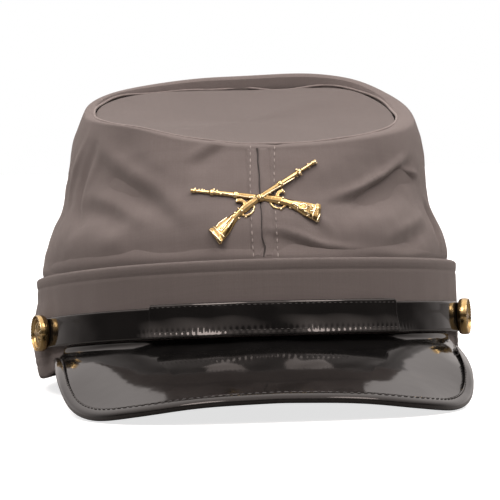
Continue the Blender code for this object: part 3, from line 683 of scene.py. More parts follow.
def fold(places, normals, line, depth, above, below, lip):
    """How far a fold moves each place along its normal: inward along the line, outward at the lip.

    `above` is the width on the left hand of someone who walks along the line on the outside."""
    share, gap, segment, nearest = on_line(places, line)
    ahead = np.diff(np.array(line, float), axis=0)
    ahead /= np.linalg.norm(ahead, axis=1)[:, None]
    sideways = np.cross(normals, ahead[segment])
    side = np.sign(((places - nearest) * sideways).sum(1))
    width = np.where(side > 0, above, below)
    fade = smooth_rise(0.0, 0.45, share) * smooth_rise(1.0, 0.55, share)
    hollow = -depth * np.exp(-(gap / width) ** 2)
    crest = lip * np.exp(-((gap - 1.7 * width) / (0.9 * width)) ** 2) * (side > 0)
    return (hollow + crest) * fade


def divided(line, shares=(0.0, 0.25, 0.5, 0.75)):
    """The points of a line but its last, with more between them at the given shares of each step."""
    line = np.array(line, float)
    return [start + (end - start) * share for start, end in zip(line[:-1], line[1:]) for share in shares]


def thrown(pixels, tree):
    """The line on a surface that the photograph shows through a row of pixels."""
    places = [seen(*pixel, tree) for pixel in (*divided(pixels), pixels[-1])]
    return [place for place in places if place is not None]


def level_line(tree, stations, lift=0.0):
    """A line on a surface through stations of turn and height in mm, looked at level from outside."""
    line = []
    for turn, height in stations:
        start, axis = (Vector(out_of_cap(on_band(turn, radius, height * MM))) for radius in (OUTSIDE, 0.0))
        inward = (axis - start).normalized()
        place = tree.ray_cast(start, inward)[0]
        if place is not None:
            line.append(place - inward * lift)
    return line


def round_line(tree, stations):
    """The same, with stations far apart that may cross the back of the cap."""
    turns = np.unwrap([turn for turn, _ in stations], period=360.0)
    return level_line(tree, divided(list(zip(turns, [height for _, height in stations]))))


def laid_on(line, tree, lift):
    """A line moved onto a surface, and lifted off it a little."""
    laid = []
    centre = cap @ Vector((0.0, 0.0, 0.05))
    for point in line:
        place, normal, _, _ = tree.find_nearest(Vector(point))
        outward = 1.0 if normal.dot(place - centre) > 0.0 else -1.0
        laid.append(place + normal * outward * lift)
    return laid


def tube(name, line, radius, material, roundness=2):
    """A thin round tube along a line of points."""
    curve = bpy.data.curves.new(name, "CURVE")
    curve.dimensions = "3D"
    curve.bevel_depth = radius
    curve.bevel_resolution = roundness
    curve.use_fill_caps = True
    spline = curve.splines.new("POLY")
    spline.points.add(len(line) - 1)
    for point, place in zip(spline.points, line):
        point.co = (*place, 1.0)
    finished(name, realised(placed(name + "_curve", curve)), material)


# %% [markdown]
# ## The crown
#
# The wall of the crown is one soft shell. Its outside is divided more finely than its inside, because
# the folds and seams are there. The order is: smooth the coarse folds away, round the shell, press the
# finer folds in, raise the seams, and last map the weave.

# %% Crown wall
CROWN_FOLD_TABLE = (
    # pixels of the line, depth, width above, width below, lip, all in mm
    (((84, 150), (96, 163), (106, 174), (118, 184), (132, 192), (146, 200), (158, 210), (168, 221),
      (182, 236), (192, 248)), 2.6, 4.0, 7.0, 1.0),
    (((70, 216), (92, 213), (112, 218), (130, 229), (146, 241), (158, 252)), 2.2, 4.0, 7.0, 0.9),
    (((92, 120), (88, 136), (81, 154), (75, 172), (71, 190), (69, 210), (68, 228)), -1.1, 2.2, 2.6, 0.0),
    (((99, 128), (95, 146), (88, 166), (81, 188), (78, 208), (80, 228), (84, 240)), 1.6, 2.8, 3.0, 0.5),
    (((184, 172), (196, 163), (208, 156), (224, 148), (236, 145)), 1.3, 2.2, 4.0, 0.5),
    (((274, 144), (286, 147), (300, 151), (320, 158), (336, 166)), 0.9, 2.2, 3.5, 0.4),
    (((316, 212), (330, 207), (342, 204), (352, 201), (364, 196), (374, 190), (385, 184), (395, 176),
      (406, 167), (416, 158)), 3.8, 2.2, 7.5, 1.8),
    (((392, 171), (402, 174), (412, 178), (421, 181)), 1.4, 1.4, 3.2, 0.8),
    (((246, 236), (262, 237), (280, 238), (296, 242), (312, 248), (330, 252), (352, 254), (380, 255)),
     1.5, 1.8, 3.4, 0.9),
    (((294, 214), (306, 220), (316, 227), (326, 236), (334, 246)), 0.9, 2.2, 3.2, 0.4),
    (((372, 254), (388, 250), (404, 243), (418, 235), (430, 226)), 1.6, 3.0, 3.6, 0.8),
    (((420, 196), (425, 208), (431, 224), (438, 240), (444, 252)), 1.4, 2.0, 2.2, 0.8),
    (((84, 254), (100, 247), (118, 239), (134, 227), (146, 214)), -0.9, 4.5, 4.0, 0.0),
    (((332, 236), (352, 228), (372, 222), (392, 214), (410, 204)), -1.1, 6.0, 6.0, 0.0),
)
ROUND_FOLD_TABLE = (
    # turn in degrees and height in mm along the line, then as above
    (((84, 74), (96, 70), (108, 62), (120, 55), (130, 50)), 2.2, 4.0, 7.0, 0.9),
    (((88, 50), (98, 47), (110, 46), (122, 48)), 1.2, 3.0, 4.0, 0.5),
    (((-84, 60), (-98, 62), (-112, 68), (-126, 76), (-138, 84)), 2.2, 7.0, 4.0, 0.9),
    (((-92, 48), (-104, 46), (-118, 47), (-130, 50)), 1.3, 3.0, 4.0, 0.5),
    (((-146, 56), (-160, 60), (-172, 66), (176, 74)), 2.0, 5.0, 7.0, 0.8),
    (((126, 92), (138, 88), (150, 84), (162, 80), (172, 74)), 1.9, 4.0, 6.0, 0.8),
    (((124, 50), (140, 47), (156, 46), (168, 48)), 1.5, 3.0, 4.5, 0.6),
    (((-176, 50), (-164, 46), (-150, 45), (-138, 46)), 1.3, 3.0, 4.0, 0.5),
    (((68, 84), (80, 82), (92, 82), (104, 85)), -0.8, 4.0, 4.0, 0.0),
    (((-68, 84), (-82, 80), (-96, 79), (-110, 82)), 1.0, 4.0, 4.0, 0.4),
)
BACK_SEAM_HEIGHTS_MM = (40, 50, 60, 70, 80, 90, 100, 110)
PATCH_TURN_DEG = 18.0
PATCH_HEIGHT = 0.009
SEAM_ROW_ASIDE = 0.0046
SEAM_RIDGE = 0.00035
SEAM_GROOVE = 0.0008
SEAM_ROW_PRESS = 0.00025
BELLY_HEIGHT = 0.054
TUCK_HEIGHT = 0.0405
SKIN_STEP = 0.0002
SKIN_REACH = 0.008
RIM_DEPTH = 0.0012
RIM_WAVES = 14
SEAM_PIXELS = ((257, 148), (259, 174), (261, 218), (264, 256))


def inner_faces(work):
    """The faces of a thin shell that look into its hollow: the other skin lies farther out."""
    tree = BVHTree.FromBMesh(work)
    centre = cap @ Vector((0.0, 0.01, 0.055))
    looks_in = set()
    for face in work.faces:
        place = face.calc_center_median()
        outward = (place - centre).normalized()
        other = tree.ray_cast(place - face.normal * SKIN_STEP, -face.normal, SKIN_REACH)[0]
        if other is None:
            inside = face.normal.dot(outward) < 0.0
        else:
            inside = (other - centre).length > (place - centre).length
        if inside:
            looks_in.add(face.index)
    return looks_in


def unfolded(mesh, soft):
    """Takes the coarse folds out of a wall where it is soft, so that finer ones can be pressed in.

    Round every point a smooth patch is fitted to the wall's radius over turn and height. Points that
    lie in a hollow count less with each round, so the patch finds the cloth as it was before it sank."""
    places = in_cap(points_of(mesh))
    turn, radius = turn_and_radius(places)
    used = np.flatnonzero((soft > 0.0) & (radius > 0.02))
    across = ((turn[used][:, None] - turn[used][None, :] + 180.0) % 360.0 - 180.0) / PATCH_TURN_DEG
    above = (places[used, 2][:, None] - places[used, 2][None, :]) / PATCH_HEIGHT
    near = np.exp(-across ** 2 - above ** 2)
    terms = np.stack([np.ones_like(across), across, above, across ** 2, above ** 2], -1)
    trust = np.ones(len(used))
    for _ in range(3):
        weights = near * trust[None, :]
        square = np.einsum("ijk,ij,ijl->ikl", terms, weights, terms) + np.eye(5) * 1e-6
        right = np.einsum("ijk,ij,j->ik", terms, weights, radius[used])
        fitted = np.linalg.solve(square, right[..., None])[:, 0, 0]
        trust = 0.3 + 0.7 * np.exp(-(np.maximum(fitted - radius[used], 0.0) / 0.0012) ** 2)
    moved = radius.copy()
    moved[used] += soft[used] * (fitted - radius[used])
    scale = moved / np.maximum(radius, 1e-6)
    places[:, 0] *= scale
    places[:, 1] *= scale
    set_points(mesh, out_of_cap(places))
    print("Unfolding moved the wall by up to", round(np.abs(moved - radius).max() / MM, 2), "mm")


def softness(mesh, low, high, from_edge, to_edge):
    """Where a part of the wall is free to move: above the band, and away from the rim of the top."""
    gap = on_line(points_of(mesh), np.vstack([rim, rim[:1]]))[1]
    return smooth_rise(low, high, in_cap(points_of(mesh))[:, 2]) * smooth_rise(from_edge, to_edge, gap)


def two_skins(node, outer_levels, inner_levels):
    """A CAD shell in two skins, rounded more finely outside than inside."""
    work = joined(node)
    work.faces.ensure_lookup_table()
    looks_in = inner_faces(work)
    skins = []
    for levels, keep_in in ((outer_levels, False), (inner_levels, True)):
        part = work.copy()
        part.faces.ensure_lookup_table()
        dropped = [part.faces[i] for i in range(len(part.faces)) if (i in looks_in) != keep_in]
        bmesh.ops.delete(part, geom=dropped, context="FACES")
        if not keep_in:
            coarse = mesh_of(part, "coarse skin")
            unfolded(coarse, softness(coarse, 0.0395, 0.043, 0.008, 0.013))
            part = bmesh_of(coarse)
        skins.append(refined(part, levels))
    work.free()
    return skins


def rim_of_top():
    """The rim of the flat top in the resting frame, as a smooth closed line."""
    places = corners_of("crown_top")
    middle = 0.5 * (places.max(0) + places.min(0))
    turn, reach = turn_and_radius(places, middle)
    order = np.argsort(turn)
    rows = []
    for start in np.arange(-180.0, 180.0, 6.0):
        inside = order[(turn[order] >= start) & (turn[order] < start + 6.0)]
        if len(inside):
            outermost = inside[reach[inside] > reach[inside].max() - RIM_DEPTH]
            best = outermost[np.argmax(places[outermost, 2])]
            rows.append((turn[best], reach[best], places[best, 2]))
    known, *measures = np.array(rows).T
    at = np.arange(-180.0, 180.0, 1.5)
    slow = []
    for values in measures:
        waves = np.fft.rfft(np.interp(at, known, values, period=360.0))
        waves[RIM_WAVES:] = 0.0
        slow.append(np.fft.irfft(waves, len(at)))
    return out_of_cap(on_band(at, *slow) + (middle[0], middle[1], 0.0))


rim = rim_of_top()
print("Rim of the top:", len(rim), "points")
crown_out, crown_in = two_skins("crown_wall", 3, 1)
print("Crown wall: outside", len(crown_out.polygons), "faces, inside", len(crown_in.polygons))


def soft_waves(places, size, seed):
    """Slow even waviness between about -1 and 1, from a few plane waves in seeded directions."""
    chance = np.random.default_rng(seed)
    total = np.zeros(len(places))
    for _ in range(9):
        way = chance.normal(size=3)
        way *= chance.uniform(0.7, 1.5) / (size * np.linalg.norm(way))
        total += np.sin(places @ way * 2.0 * math.pi + chance.uniform(0.0, 2.0 * math.pi))
    return total / 3.0


def shape_crown(mesh):
    """Presses the folds and seams into the crown's outside, and gives the lines of the two seams."""
    soft = softness(mesh, 0.040, 0.045, 0.007, 0.014)
    evened(mesh, soft, 20)
    tree = tree_of(mesh)
    places = points_of(mesh)
    mesh.update()
    normals = read(mesh.vertices, "normal", 3, np.float32).astype(float)
    move = np.zeros(len(places))
    folds = [(thrown(pixels, tree), sizes) for pixels, *sizes in CROWN_FOLD_TABLE]
    folds += [(round_line(tree, stations), sizes) for stations, *sizes in ROUND_FOLD_TABLE]
    for line, sizes in folds:
        move += fold(places, normals, line, *np.array(sizes) * MM)
    move += soft * (0.00025 * soft_waves(places, 0.030, 5) + 0.00010 * soft_waves(places, 0.011, 6))
    flat = in_cap(places)
    facing, _ = turn_and_radius(flat)
    left = smooth_rise(20.0, -40.0, facing)
    belly = np.exp(-((flat[:, 2] - BELLY_HEIGHT) / 0.0080) ** 2) * (0.0012 + 0.0010 * left)
    tuck = np.exp(-((flat[:, 2] - TUCK_HEIGHT) / 0.0050) ** 2) * (0.0018 + 0.0006 * left)
    move += smooth_rise(-0.2, 0.5, np.cos(np.radians(facing))) * (belly - tuck)
    seams = thrown(SEAM_PIXELS, tree), round_line(tree, [(180, height) for height in BACK_SEAM_HEIGHTS_MM])
    for seam in seams:
        share, gap, _, _ = on_line(places, seam)
        ridge = SEAM_RIDGE * smooth_rise(SEAM_ROW_ASIDE, 0.0032, gap)
        groove = -SEAM_GROOVE * np.exp(-(gap / 0.0007) ** 2)
        row = -SEAM_ROW_PRESS * np.exp(-((gap - SEAM_ROW_ASIDE) / 0.0005) ** 2)
        ends = smooth_rise(0.0, 0.02, share) * smooth_rise(1.0, 0.98, share)
        move += (ridge + groove + row) * ends
    set_points(mesh, places + normals * move[:, None])
    return seams


crown_seam, back_seam = shape_crown(crown_out)
crown_skins = bmesh.new()
for skin in (crown_out, crown_in):
    cloth_map(skin, in_cap(points_of(skin)))
    crown_skins.from_mesh(skin)
crown_mesh = mesh_of(crown_skins, "crown_wall_cloth")
finished("crown_wall_cloth", crown_mesh, cotton, ["crown_wall"])
crown_tree = tree_of(crown_out)

# %% [markdown]
# ### The two seams
#
# Each seam is a dark line, a near-black tube in its groove as a painted shadow, and a row of topstitching
# runs on each side of it.

# %% Seams
SEAM_SINK = 0.00002
SEAM_LINE_RADIUS = 0.00028
STITCH_LIFT = 0.00008
STITCH_ROW_PIXELS = (
    ((250.5, 148), (250, 181), (252, 233), (253.5, 255)),
    ((274.5, 148), (274, 178), (276, 221), (278, 255)),
)


def dress_seam(name, seam, rows, seed):
    sunk = laid_on(seam, crown_tree, -SEAM_SINK)
    # The seam's line is a near-black tube, a painted shadow of the groove.
    tube(name + "_line", sunk, SEAM_LINE_RADIUS, seam_shade)
    sew(name + "_stitches", [laid_on(row, crown_tree, STITCH_LIFT) for row in rows],
        *CLOTH_STITCH, thread_cloth, "taupe_cotton", seed)


dress_seam("front_seam", crown_seam, [thrown(pixels, crown_tree) for pixels in STITCH_ROW_PIXELS], 3)
dress_seam("back_seam", back_seam, [[point + Vector((aside, 0.0, 0.0)) for point in back_seam]
                                    for aside in (-SEAM_ROW_ASIDE, SEAM_ROW_ASIDE)], 4)

# %% [markdown]
# ### The flat top
#
# The flat top sags a little. It faces the light, so its cloth is tinted darker than the wall's, as painted
# shade. A thin welt runs round its rim, its cloth tinted paler as a painted highlight.

# %% Crown top
WELT_RADIUS = 0.00052
top_mesh = refined(joined("crown_top"), 3)
cloth_map(top_mesh, in_cap(points_of(top_mesh)), level=True)
finished("crown_top_cloth", top_mesh, cotton_top_shaded, ["crown_top"])
# The welt's paler cloth is a painted highlight along the rim.
tube("top_welt", np.vstack([rim, rim[:2]]), WELT_RADIUS, cotton_welt_highlit, 3)
print("Crown top:", len(top_mesh.polygons), "faces")

# %% [markdown]
# ## The headband
#
# The band is laid out afresh as a regular grid between the CAD band's own edges, so that its welt and
# hem can be pressed into it. The profile table gives, for heights up the band, how far the cloth
# stands out: a rolled welt at the top with a pressed line below it, and a double-stitched hem.

# %% Headband
BAND_COLUMNS = 720
BAND_BELLY = 0.0022
BAND_SAG = 0.0026
BAND_INSET = 0.0004
BAND_PROFILE = (
    # share of the height, standing out in mm
    (0.000, -0.70), (0.010, -0.15), (0.030, 0.10), (0.095, 0.12), (0.112, -0.10), (0.130, 0.10),
    (0.165, 0.10), (0.180, -0.08), (0.200, 0.02), (0.40, 0.05), (0.70, 0.0), (0.860, 0.02),
    (0.885, -0.22), (0.905, 0.10), (0.940, 0.28), (0.975, 0.30), (0.992, -0.05), (1.000, -0.70),
)


def band_bulge(turn, share):
    """How far the soft band bellies out, and how far its foot sags, beside the peak at the left."""
    beside = smooth_rise(-62.0, -74.0, turn) * smooth_rise(-132.0, -98.0, turn)
    belly = BAND_BELLY * beside * np.sin(np.clip(share / 0.75, 0, 1) * math.pi)
    return belly, BAND_SAG * beside * (1.0 - share) ** 3


def build_band():
    columns = columns_of("headband", 0.030)
    turn = np.linspace(-180.0, 180.0, BAND_COLUMNS, endpoint=False)
    outer, inner, low, high = (
        through(turn, columns[:, 0], columns[:, k], closed=True) for k in range(1, 5))
    profile = np.array(BAND_PROFILE)
    shares = np.unique(np.concatenate([profile[:, 0], np.linspace(0.02, 0.98, 30)]))
    stands = np.interp(shares, profile[:, 0], profile[:, 1]) * MM
    section = [(share, stand, 1.0) for share, stand in zip(shares, stands)]
    section += [(share, 0.0, 0.0) for share in np.linspace(0.985, 0.015, 12)]
    waves = 0.00012 * np.sin(np.radians(turn) * 23.0) + 0.00010 * np.sin(np.radians(turn) * 41.0 + 1.0)
    places = np.zeros((BAND_COLUMNS, len(section), 3))
    for row, (share, stand, side) in enumerate(section):
        belly, sag = band_bulge(turn, share)
        swell = waves * math.sin(share * math.pi)
        radius = np.where(side > 0.5, outer + stand + swell, inner + BAND_INSET)
        height = low + (high - low) * share - sag
        places[:, row] = on_band(turn, radius + belly, height)
    return grid_mesh("headband_cloth", out_of_cap(places), True, True)


band_mesh = build_band()
cloth_map(band_mesh, in_cap(points_of(band_mesh)))
# The band's cloth is tinted darker, as painted shade.
finished("headband_cloth", band_mesh, cotton_band_shaded, ["headband"])
print("Headband:", len(band_mesh.polygons), "faces")

# %% [markdown]
# ## Patent pieces
#
# The peak and its binding keep their CAD outline and are only rounded. The two layers of the strap
# are laid out afresh between the CAD strap's edges. The peak's root pushes the foot of the strap
# outwards, so the lower third leans back and catches the light from above, and every stitch of the
# lower row draws the leather in a little, which breaks that light into teeth.

# %% Peak and binding
peak_meshes = {node: refined(joined(node), 2) for node in ("peak", "peak_binding")}
for node, mesh in peak_meshes.items():
    finished(node + "_patent", mesh, patent, [node])
    print(node, len(mesh.polygons), "faces")

# %% Strap
STRAP_ROW = 0.0112
STRAP_TOP_ROW = 0.0207
STRAP_LEAN_START = 0.0172
PEAK_CENTRE = -0.075
BINDING_INSET = 0.0032
STRAP_LEAN = 0.0021
STRAP_PULL = 0.00016
STRAP_STITCH_SINK = 0.00002
BINDING_STITCH_LIFT = 0.00006


def strap_lean(turn, height):
    """How far the foot of the strap is pushed out, in metres, with the pull of the stitches."""
    down = np.clip((STRAP_LEAN_START - height) / 0.0075, 0.0, 1.3)
    middle = smooth_rise(-34.0, -24.0, turn) * smooth_rise(40.0, 30.0, turn)
    hollow = smooth_rise(-10.0, -4.0, turn) * smooth_rise(10.0, 4.0, turn)
    lean = STRAP_LEAN * down ** 1.5 * (0.25 + 0.75 * middle) * (1.0 - 0.45 * hollow)
    along = np.radians(turn) * 0.100
    pull = 0.5 + 0.5 * np.cos(2.0 * math.pi * along / STRAP_STITCH[0])
    return lean - STRAP_PULL * pull * np.exp(-((height - STRAP_ROW) / 0.0010) ** 2) * middle


def build_strap(node, bow, corner):
    """A layer of the strap: `bow` is how much it swells, `corner` the radius of its ends."""
    columns = columns_of(node, 0.0118)
    turns, _ = turn_and_radius(corners_of(node))
    first, last = turns.min(), turns.max()
    turn = np.linspace(first, last, 700)
    inside = np.clip(turn, columns[0, 0], columns[-1, 0])
    outer, inner, low, high = (through(inside, columns[:, 0], columns[:, k]) for k in range(1, 5))
    head, tail = columns[1] - columns[0], columns[-1] - columns[-2]
    beyond = turn - inside
    outer = outer + np.where(beyond < 0.0, head[1] / head[0], tail[1] / tail[0]) * beyond
    inner = inner + np.where(beyond < 0.0, head[2] / head[0], tail[2] / tail[0]) * beyond
    centre = 0.5 * (high + low)
    from_end = np.radians(np.minimum(turn - first, last - turn)) * 0.095 + 0.00005
    rest = np.clip(1.0 - from_end / corner, 0.0, 1.0)
    half = 0.5 * (high - low) - corner + corner * np.sqrt(1.0 - rest ** 2)
    section = [(step, True) for step in np.linspace(-1.0, 1.0, 30)]
    section += [(step, False) for step in np.linspace(0.97, -0.97, 12)]
    places = np.zeros((len(turn), len(section), 3))
    for row, (step, outside) in enumerate(section):
        edge = 0.00045 * np.clip((abs(step) - 0.90) / 0.10, 0.0, 1.0) ** 2
        height = centre + half * step
        wave = 0.00008 * np.sin(np.radians(turn) * 31.0 + 3.0 * step) * bow
        swell = 0.0003 * bow * (1.0 - step ** 2)
        radius = outer + swell + wave - edge if outside else inner + edge
        places[:, row] = on_band(turn, radius + strap_lean(turn, height), height)
    mesh = grid_mesh(node + "_patent", out_of_cap(places), True)
    finished(node + "_patent", mesh, patent_strap, [node])
    print(node, len(mesh.polygons), "faces, turns", round(first, 1), "to", round(last, 1))
    return mesh


build_strap("chin_strap", 0.4, 0.0066)
centre_tree = tree_of(build_strap("strap_centre", 1.0, 0.0008))


def edge_line(mesh, inset, turns):
    """A line on top of the peak, a given way inside its outline."""
    turn, reach = turn_and_radius(in_cap(points_of(mesh)), (0.0, PEAK_CENTRE))
    known, widest = [], []
    for at in np.arange(-120.0, 121.0, 2.5):
        near = reach[np.abs(turn - at) < 1.8]
        if len(near):
            known.append(at)
            widest.append(near.max())
    tree = tree_of(mesh)
    down = cap.to_3x3() @ Vector((0.0, 0.0, -1.0))
    line = []
    for at in turns:
        spot = on_band(at, np.interp(at, known, widest) - inset, 0.05) + (0.0, PEAK_CENTRE, 0.0)
        place = tree.ray_cast(Vector(out_of_cap(spot)), down)[0]
        if place is not None:
            line.append(place + Vector((0, 0, BINDING_STITCH_LIFT)))
    return line


peak_turns = np.arange(-104.0, 104.5, 1.0)
sew("binding_stitches", [edge_line(peak_meshes["peak_binding"], BINDING_INSET, peak_turns)],
    *BINDING_STITCH, thread_patent, "black_patent", 5)
strap_turns = np.arange(-25.0, 30.5, 0.6)
strap_rows = [level_line(centre_tree, [(turn, row / MM) for turn in strap_turns], -STRAP_STITCH_SINK)
              for row in (STRAP_ROW, STRAP_TOP_ROW)]
sew("strap_stitches", strap_rows, *STRAP_STITCH, thread_patent, "black_patent", 7)

# %% [markdown]
# ## Gilt pieces
#
# The badge is cast, so its edges are soft: the CAD badge is filled with small cubes, skinned again and
# smoothed. The buttons are turned afresh round the axis of the CAD buttons, with a beaded rim, a
# sunken ring and a plain six-leaf rosette.

# %% Badge and buttons
CASTING_CELL = 0.00022
CHASING_RADIUS = 0.00034
BUTTON_DEPTH = 0.0041
BUTTON_SPOKES = 120
BUTTON_LEAVES = 6
BUTTON_BEADS = 36


def recast(node, cell, rounds):
    holder = placed("casting", nodes[node].data.copy())
    remesh = holder.modifiers.new("skin", "REMESH")
    remesh.mode = "VOXEL"
    remesh.voxel_size = cell
    smooth = holder.modifiers.new("soft", "SMOOTH")
    smooth.iterations = rounds
    smooth.factor = 0.5
    return realised(holder)


badge_mesh = recast("crossed_rifles_badge", CASTING_CELL, 3)
finished("crossed_rifles_badge_gilt", badge_mesh, gilt, ["crossed_rifles_badge"])
print("Badge:", len(badge_mesh.polygons), "faces")
badge_tree = tree_of(badge_mesh)

# Scrolls carved on the two butts, and the lines of the butt plates and locks, in pixels
CHASED_LINES = (
    ((322, 207), (320.5, 213), (318, 219), (316.5, 222)),
    ((209, 229), (213, 233), (217, 237), (220.5, 241)),
    ((213, 226), (217, 230), (221, 234), (224, 237)),
    ((316, 203), (315, 209), (313, 215), (312, 219)),
    ((300, 205), (303, 203.5), (306.5, 205), (307, 208), (304, 209.5), (301.5, 208.5)),
    ((308, 206), (311.5, 205.5), (314, 208), (313, 211), (310, 211)),
    ((304, 211), (307, 212), (309, 215), (306.5, 216)),
    ((232, 216), (229, 220), (225.5, 224), (222, 228)),
    ((226, 216.5), (222, 219.5), (219, 223), (216.5, 227)),
    ((227, 224), (224.5, 227.5), (222, 231), (219.5, 230), (220.5, 227)),
    ((234, 219), (231, 223), (228, 227.5)),
    ((292, 203), (295.5, 204.5), (298.5, 207), (297, 210)),
    ((262, 197), (272, 191), (284, 184), (294, 178)),
    ((222, 193), (234, 195), (246, 197), (256, 198)),
)
# Bands, lugs, hammers and sights: a bead each, pixel and radius in mm
CHASED_BEADS = (
    (196.5, 187.5, 0.55), (203.5, 184.5, 0.55), (205, 189, 0.50), (199.5, 189.5, 0.45),
    (216.5, 188, 0.60), (215, 192.5, 0.55), (221, 194, 0.55), (217.5, 190.5, 0.6),
    (252, 197.5, 0.60), (270, 193, 0.55),
    (296.5, 170, 0.60), (299.5, 173.5, 0.60), (297, 178.5, 0.50), (302, 177.5, 0.50),
    (306.5, 164, 0.55), (315, 162, 0.60), (309, 168, 0.50), (317.5, 164, 0.5),
    (283, 198, 0.55), (288, 195, 0.60), (292.5, 204, 0.60), (289, 211, 0.55), (281, 209, 0.55),
    (279, 203, 0.5), (236, 207, 0.60), (242, 211, 0.60), (235, 213, 0.55), (239.5, 219, 0.55),
    (246, 217, 0.55), (248.5, 213, 0.5),
)


def on_badge(across, down):
    """The badge's own surface at a pixel, or the nearest place of it."""
    place = seen(across, down, badge_tree)
    if place is None:
        place = badge_tree.find_nearest(seen(across, down, crown_tree))[0]
    return place


# The chased lines and beads are in the paler gilt, a painted highlight along the relief.
for index, pixels in enumerate(CHASED_LINES):
    line = [on_badge(*pixel) for pixel in (*divided(pixels, (0.0, 0.34, 0.67)), pixels[-1])]
    tube(f"chasing_{index}", line, CHASING_RADIUS, gilt_highlight)
beads = bmesh.new()
for across, down, radius in CHASED_BEADS:
    place = Matrix.Translation(on_badge(across, down))
    bmesh.ops.create_icosphere(beads, subdivisions=3, radius=radius * MM, matrix=place)
finished("badge_beads", mesh_of(beads, "badge_beads"), gilt_highlight)
print("Badge relief:", len(CHASED_LINES), "lines,", len(CHASED_BEADS), "beads")
nodes["badge_post"].data.materials.clear()
nodes["badge_post"].data.materials.append(gilt)

BUTTON_PROFILE = (
    # share of the radius, share of the head's depth; below zero is the shank
    (0.0, 0.86), (0.10, 0.86), (0.22, 0.82), (0.34, 0.80), (0.50, 0.77), (0.62, 0.70), (0.68, 0.64),
    (0.72, 0.64), (0.76, 0.80), (0.79, 0.86), (0.82, 0.80), (0.85, 0.72), (0.88, 0.76), (0.91, 0.92),
    (0.94, 0.98), (0.97, 0.93), (0.99, 0.75), (1.0, 0.55), (0.99, 0.30), (0.93, 0.08), (0.84, 0.0),
    (0.50, 0.0), (0.17, 0.0), (0.16, -0.60), (0.16, -1.20), (0.10, -1.30), (0.0, -1.30),
)


def build_button(node):
    points = points_of(nodes[node].data)
    middle = points.mean(0)
    axes = np.linalg.eigh(np.cov((points - middle).T))[1]
    axis = axes[:, 0] * np.sign(axes[0, 0] * middle[0])
    along = (points - middle) @ axis
    flat = points - middle - along[:, None] * axis
    reach = np.linalg.norm(flat, axis=1)
    middle = middle + flat[reach > 0.93 * reach.max()].mean(0)
    side = np.cross(axis, (0.0, 0.0, 1.0))
    side /= np.linalg.norm(side)
    up = np.cross(side, axis)
    known = np.arange(len(BUTTON_PROFILE))
    shares, depths = (np.interp(np.linspace(0, known[-1], 90), known, column)
                      for column in np.array(BUTTON_PROFILE).T)
    radius = np.maximum(shares, 0.003) * reach.max() * 0.995
    face = depths > 0.4
    places = np.zeros((BUTTON_SPOKES, len(shares), 3))
    angles = np.linspace(0.0, 2.0 * math.pi, BUTTON_SPOKES, endpoint=False)
    for column, angle in enumerate(angles):
        leaves = np.abs(np.cos(BUTTON_LEAVES / 2 * angle)) ** 0.6
        relief = 0.22 * (leaves - 0.55) * np.exp(-((shares - 0.40) / 0.17) ** 2) * face
        beading = 0.05 * math.cos(BUTTON_BEADS * angle) * np.exp(-((shares - 0.94) / 0.02) ** 2) * face
        level = along.max() + BUTTON_DEPTH * (np.minimum(depths + relief + beading, 1.0) - 1.0)
        spoke = math.cos(angle) * side + math.sin(angle) * up
        places[column] = middle + radius[:, None] * spoke + level[:, None] * axis
    finished(node + "_gilt", grid_mesh(node, places, False, True), gilt, [node])
    print(node, "axis", np.round(axis, 2), "radius", round(reach.max() / MM, 2), "mm")


build_button("button_left")
build_button("button_right")

# %% [markdown]
# ## Floor, world and light
#
# The cap stands in a white studio. The room is bright above and dim on the camera's side, which is
# why the upright strap is nearly black while the peak, which looks up, shows a grey shine. Two soft
# lamps stand in front, to the left and to the right. The camera sees the wall and the table white.

# %% Studio
ROOM_FRONT = 0.09
ROOM_BACK = 0.75
ROOM_TOP = 1.8
TABLE_GLOW = 0.74
ROOM_TINT = (1.0, 0.925, 0.895)
LAMP_AIM = (0.0, -0.08, 0.05)

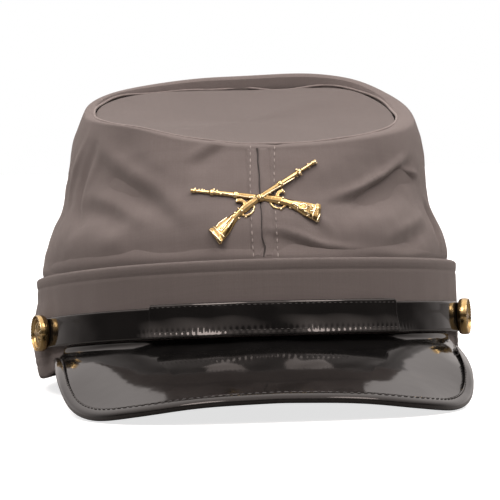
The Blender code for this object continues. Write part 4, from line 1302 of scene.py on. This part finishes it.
floor_mesh = bpy.data.meshes.new("floor")
floor_mesh.from_pydata([(-8, -6, 0), (8, -6, 0), (8, 10, 0), (-8, 10, 0)], [], [(0, 1, 2, 3)])
floor = placed("floor", floor_mesh)
floor_material, floor_tree, floor_surface = new_material("white table")
to_camera = add(floor_tree, "ShaderNodeLightPath").outputs["Is Camera Ray"]
feed(floor_tree, floor_surface, {
    "Base Color": blend(floor_tree, to_camera, (0.22, 0.215, 0.21, 1.0), (0.60, 0.60, 0.60, 1.0)),
    "Emission Color": (1.0, 1.0, 1.0, 1.0), "Emission Strength": times(floor_tree, to_camera, TABLE_GLOW),
    "Roughness": 0.9, "Specular IOR Level": 0.1})
floor_mesh.materials.append(floor_material)

world = bpy.data.worlds.new("white studio")
bpy.context.scene.world = world
world.use_nodes = True
room = world.node_tree
way = add(room, "ShaderNodeSeparateXYZ", {0: add(room, "ShaderNodeTexCoord").outputs["Generated"]})
level = span(room, way.outputs[1], 0.15, 0.85, ROOM_FRONT, ROOM_BACK)
overhead = span(room, way.outputs[2], 0.30, 0.85)
glow = calc(room, "ADD", level, times(room, overhead, calc(room, "SUBTRACT", ROOM_TOP, level)))
tinted = add(room, "ShaderNodeVectorMath", {0: ROOM_TINT, "Scale": glow}, operation="SCALE")
from_camera = add(room, "ShaderNodeLightPath").outputs["Is Camera Ray"]
sky = blend(room, from_camera, tinted.outputs[0], (1.0, 1.0, 1.0, 1.0))
feed(room, room.nodes["Background"], {"Color": sky, "Strength": 1.0})


def lamp(name, place, size, power):
    """A round soft lamp that looks at the front of the cap."""
    data = bpy.data.lights.new(name, "AREA")
    data.shape = "DISK"
    data.size = size
    data.energy = power
    data.color = ROOM_TINT
    obj = placed(name, data)
    obj.location = place
    obj.rotation_euler = (Vector(LAMP_AIM) - Vector(place)).to_track_quat("-Z", "Y").to_euler()


lamp("lamp front left", (-0.46, -0.72, 1.08), 0.62, 7.6)
lamp("lamp front right", (0.60, -0.62, 1.08), 0.66, 7.3)
bpy.context.scene.view_settings.view_transform = "Standard"
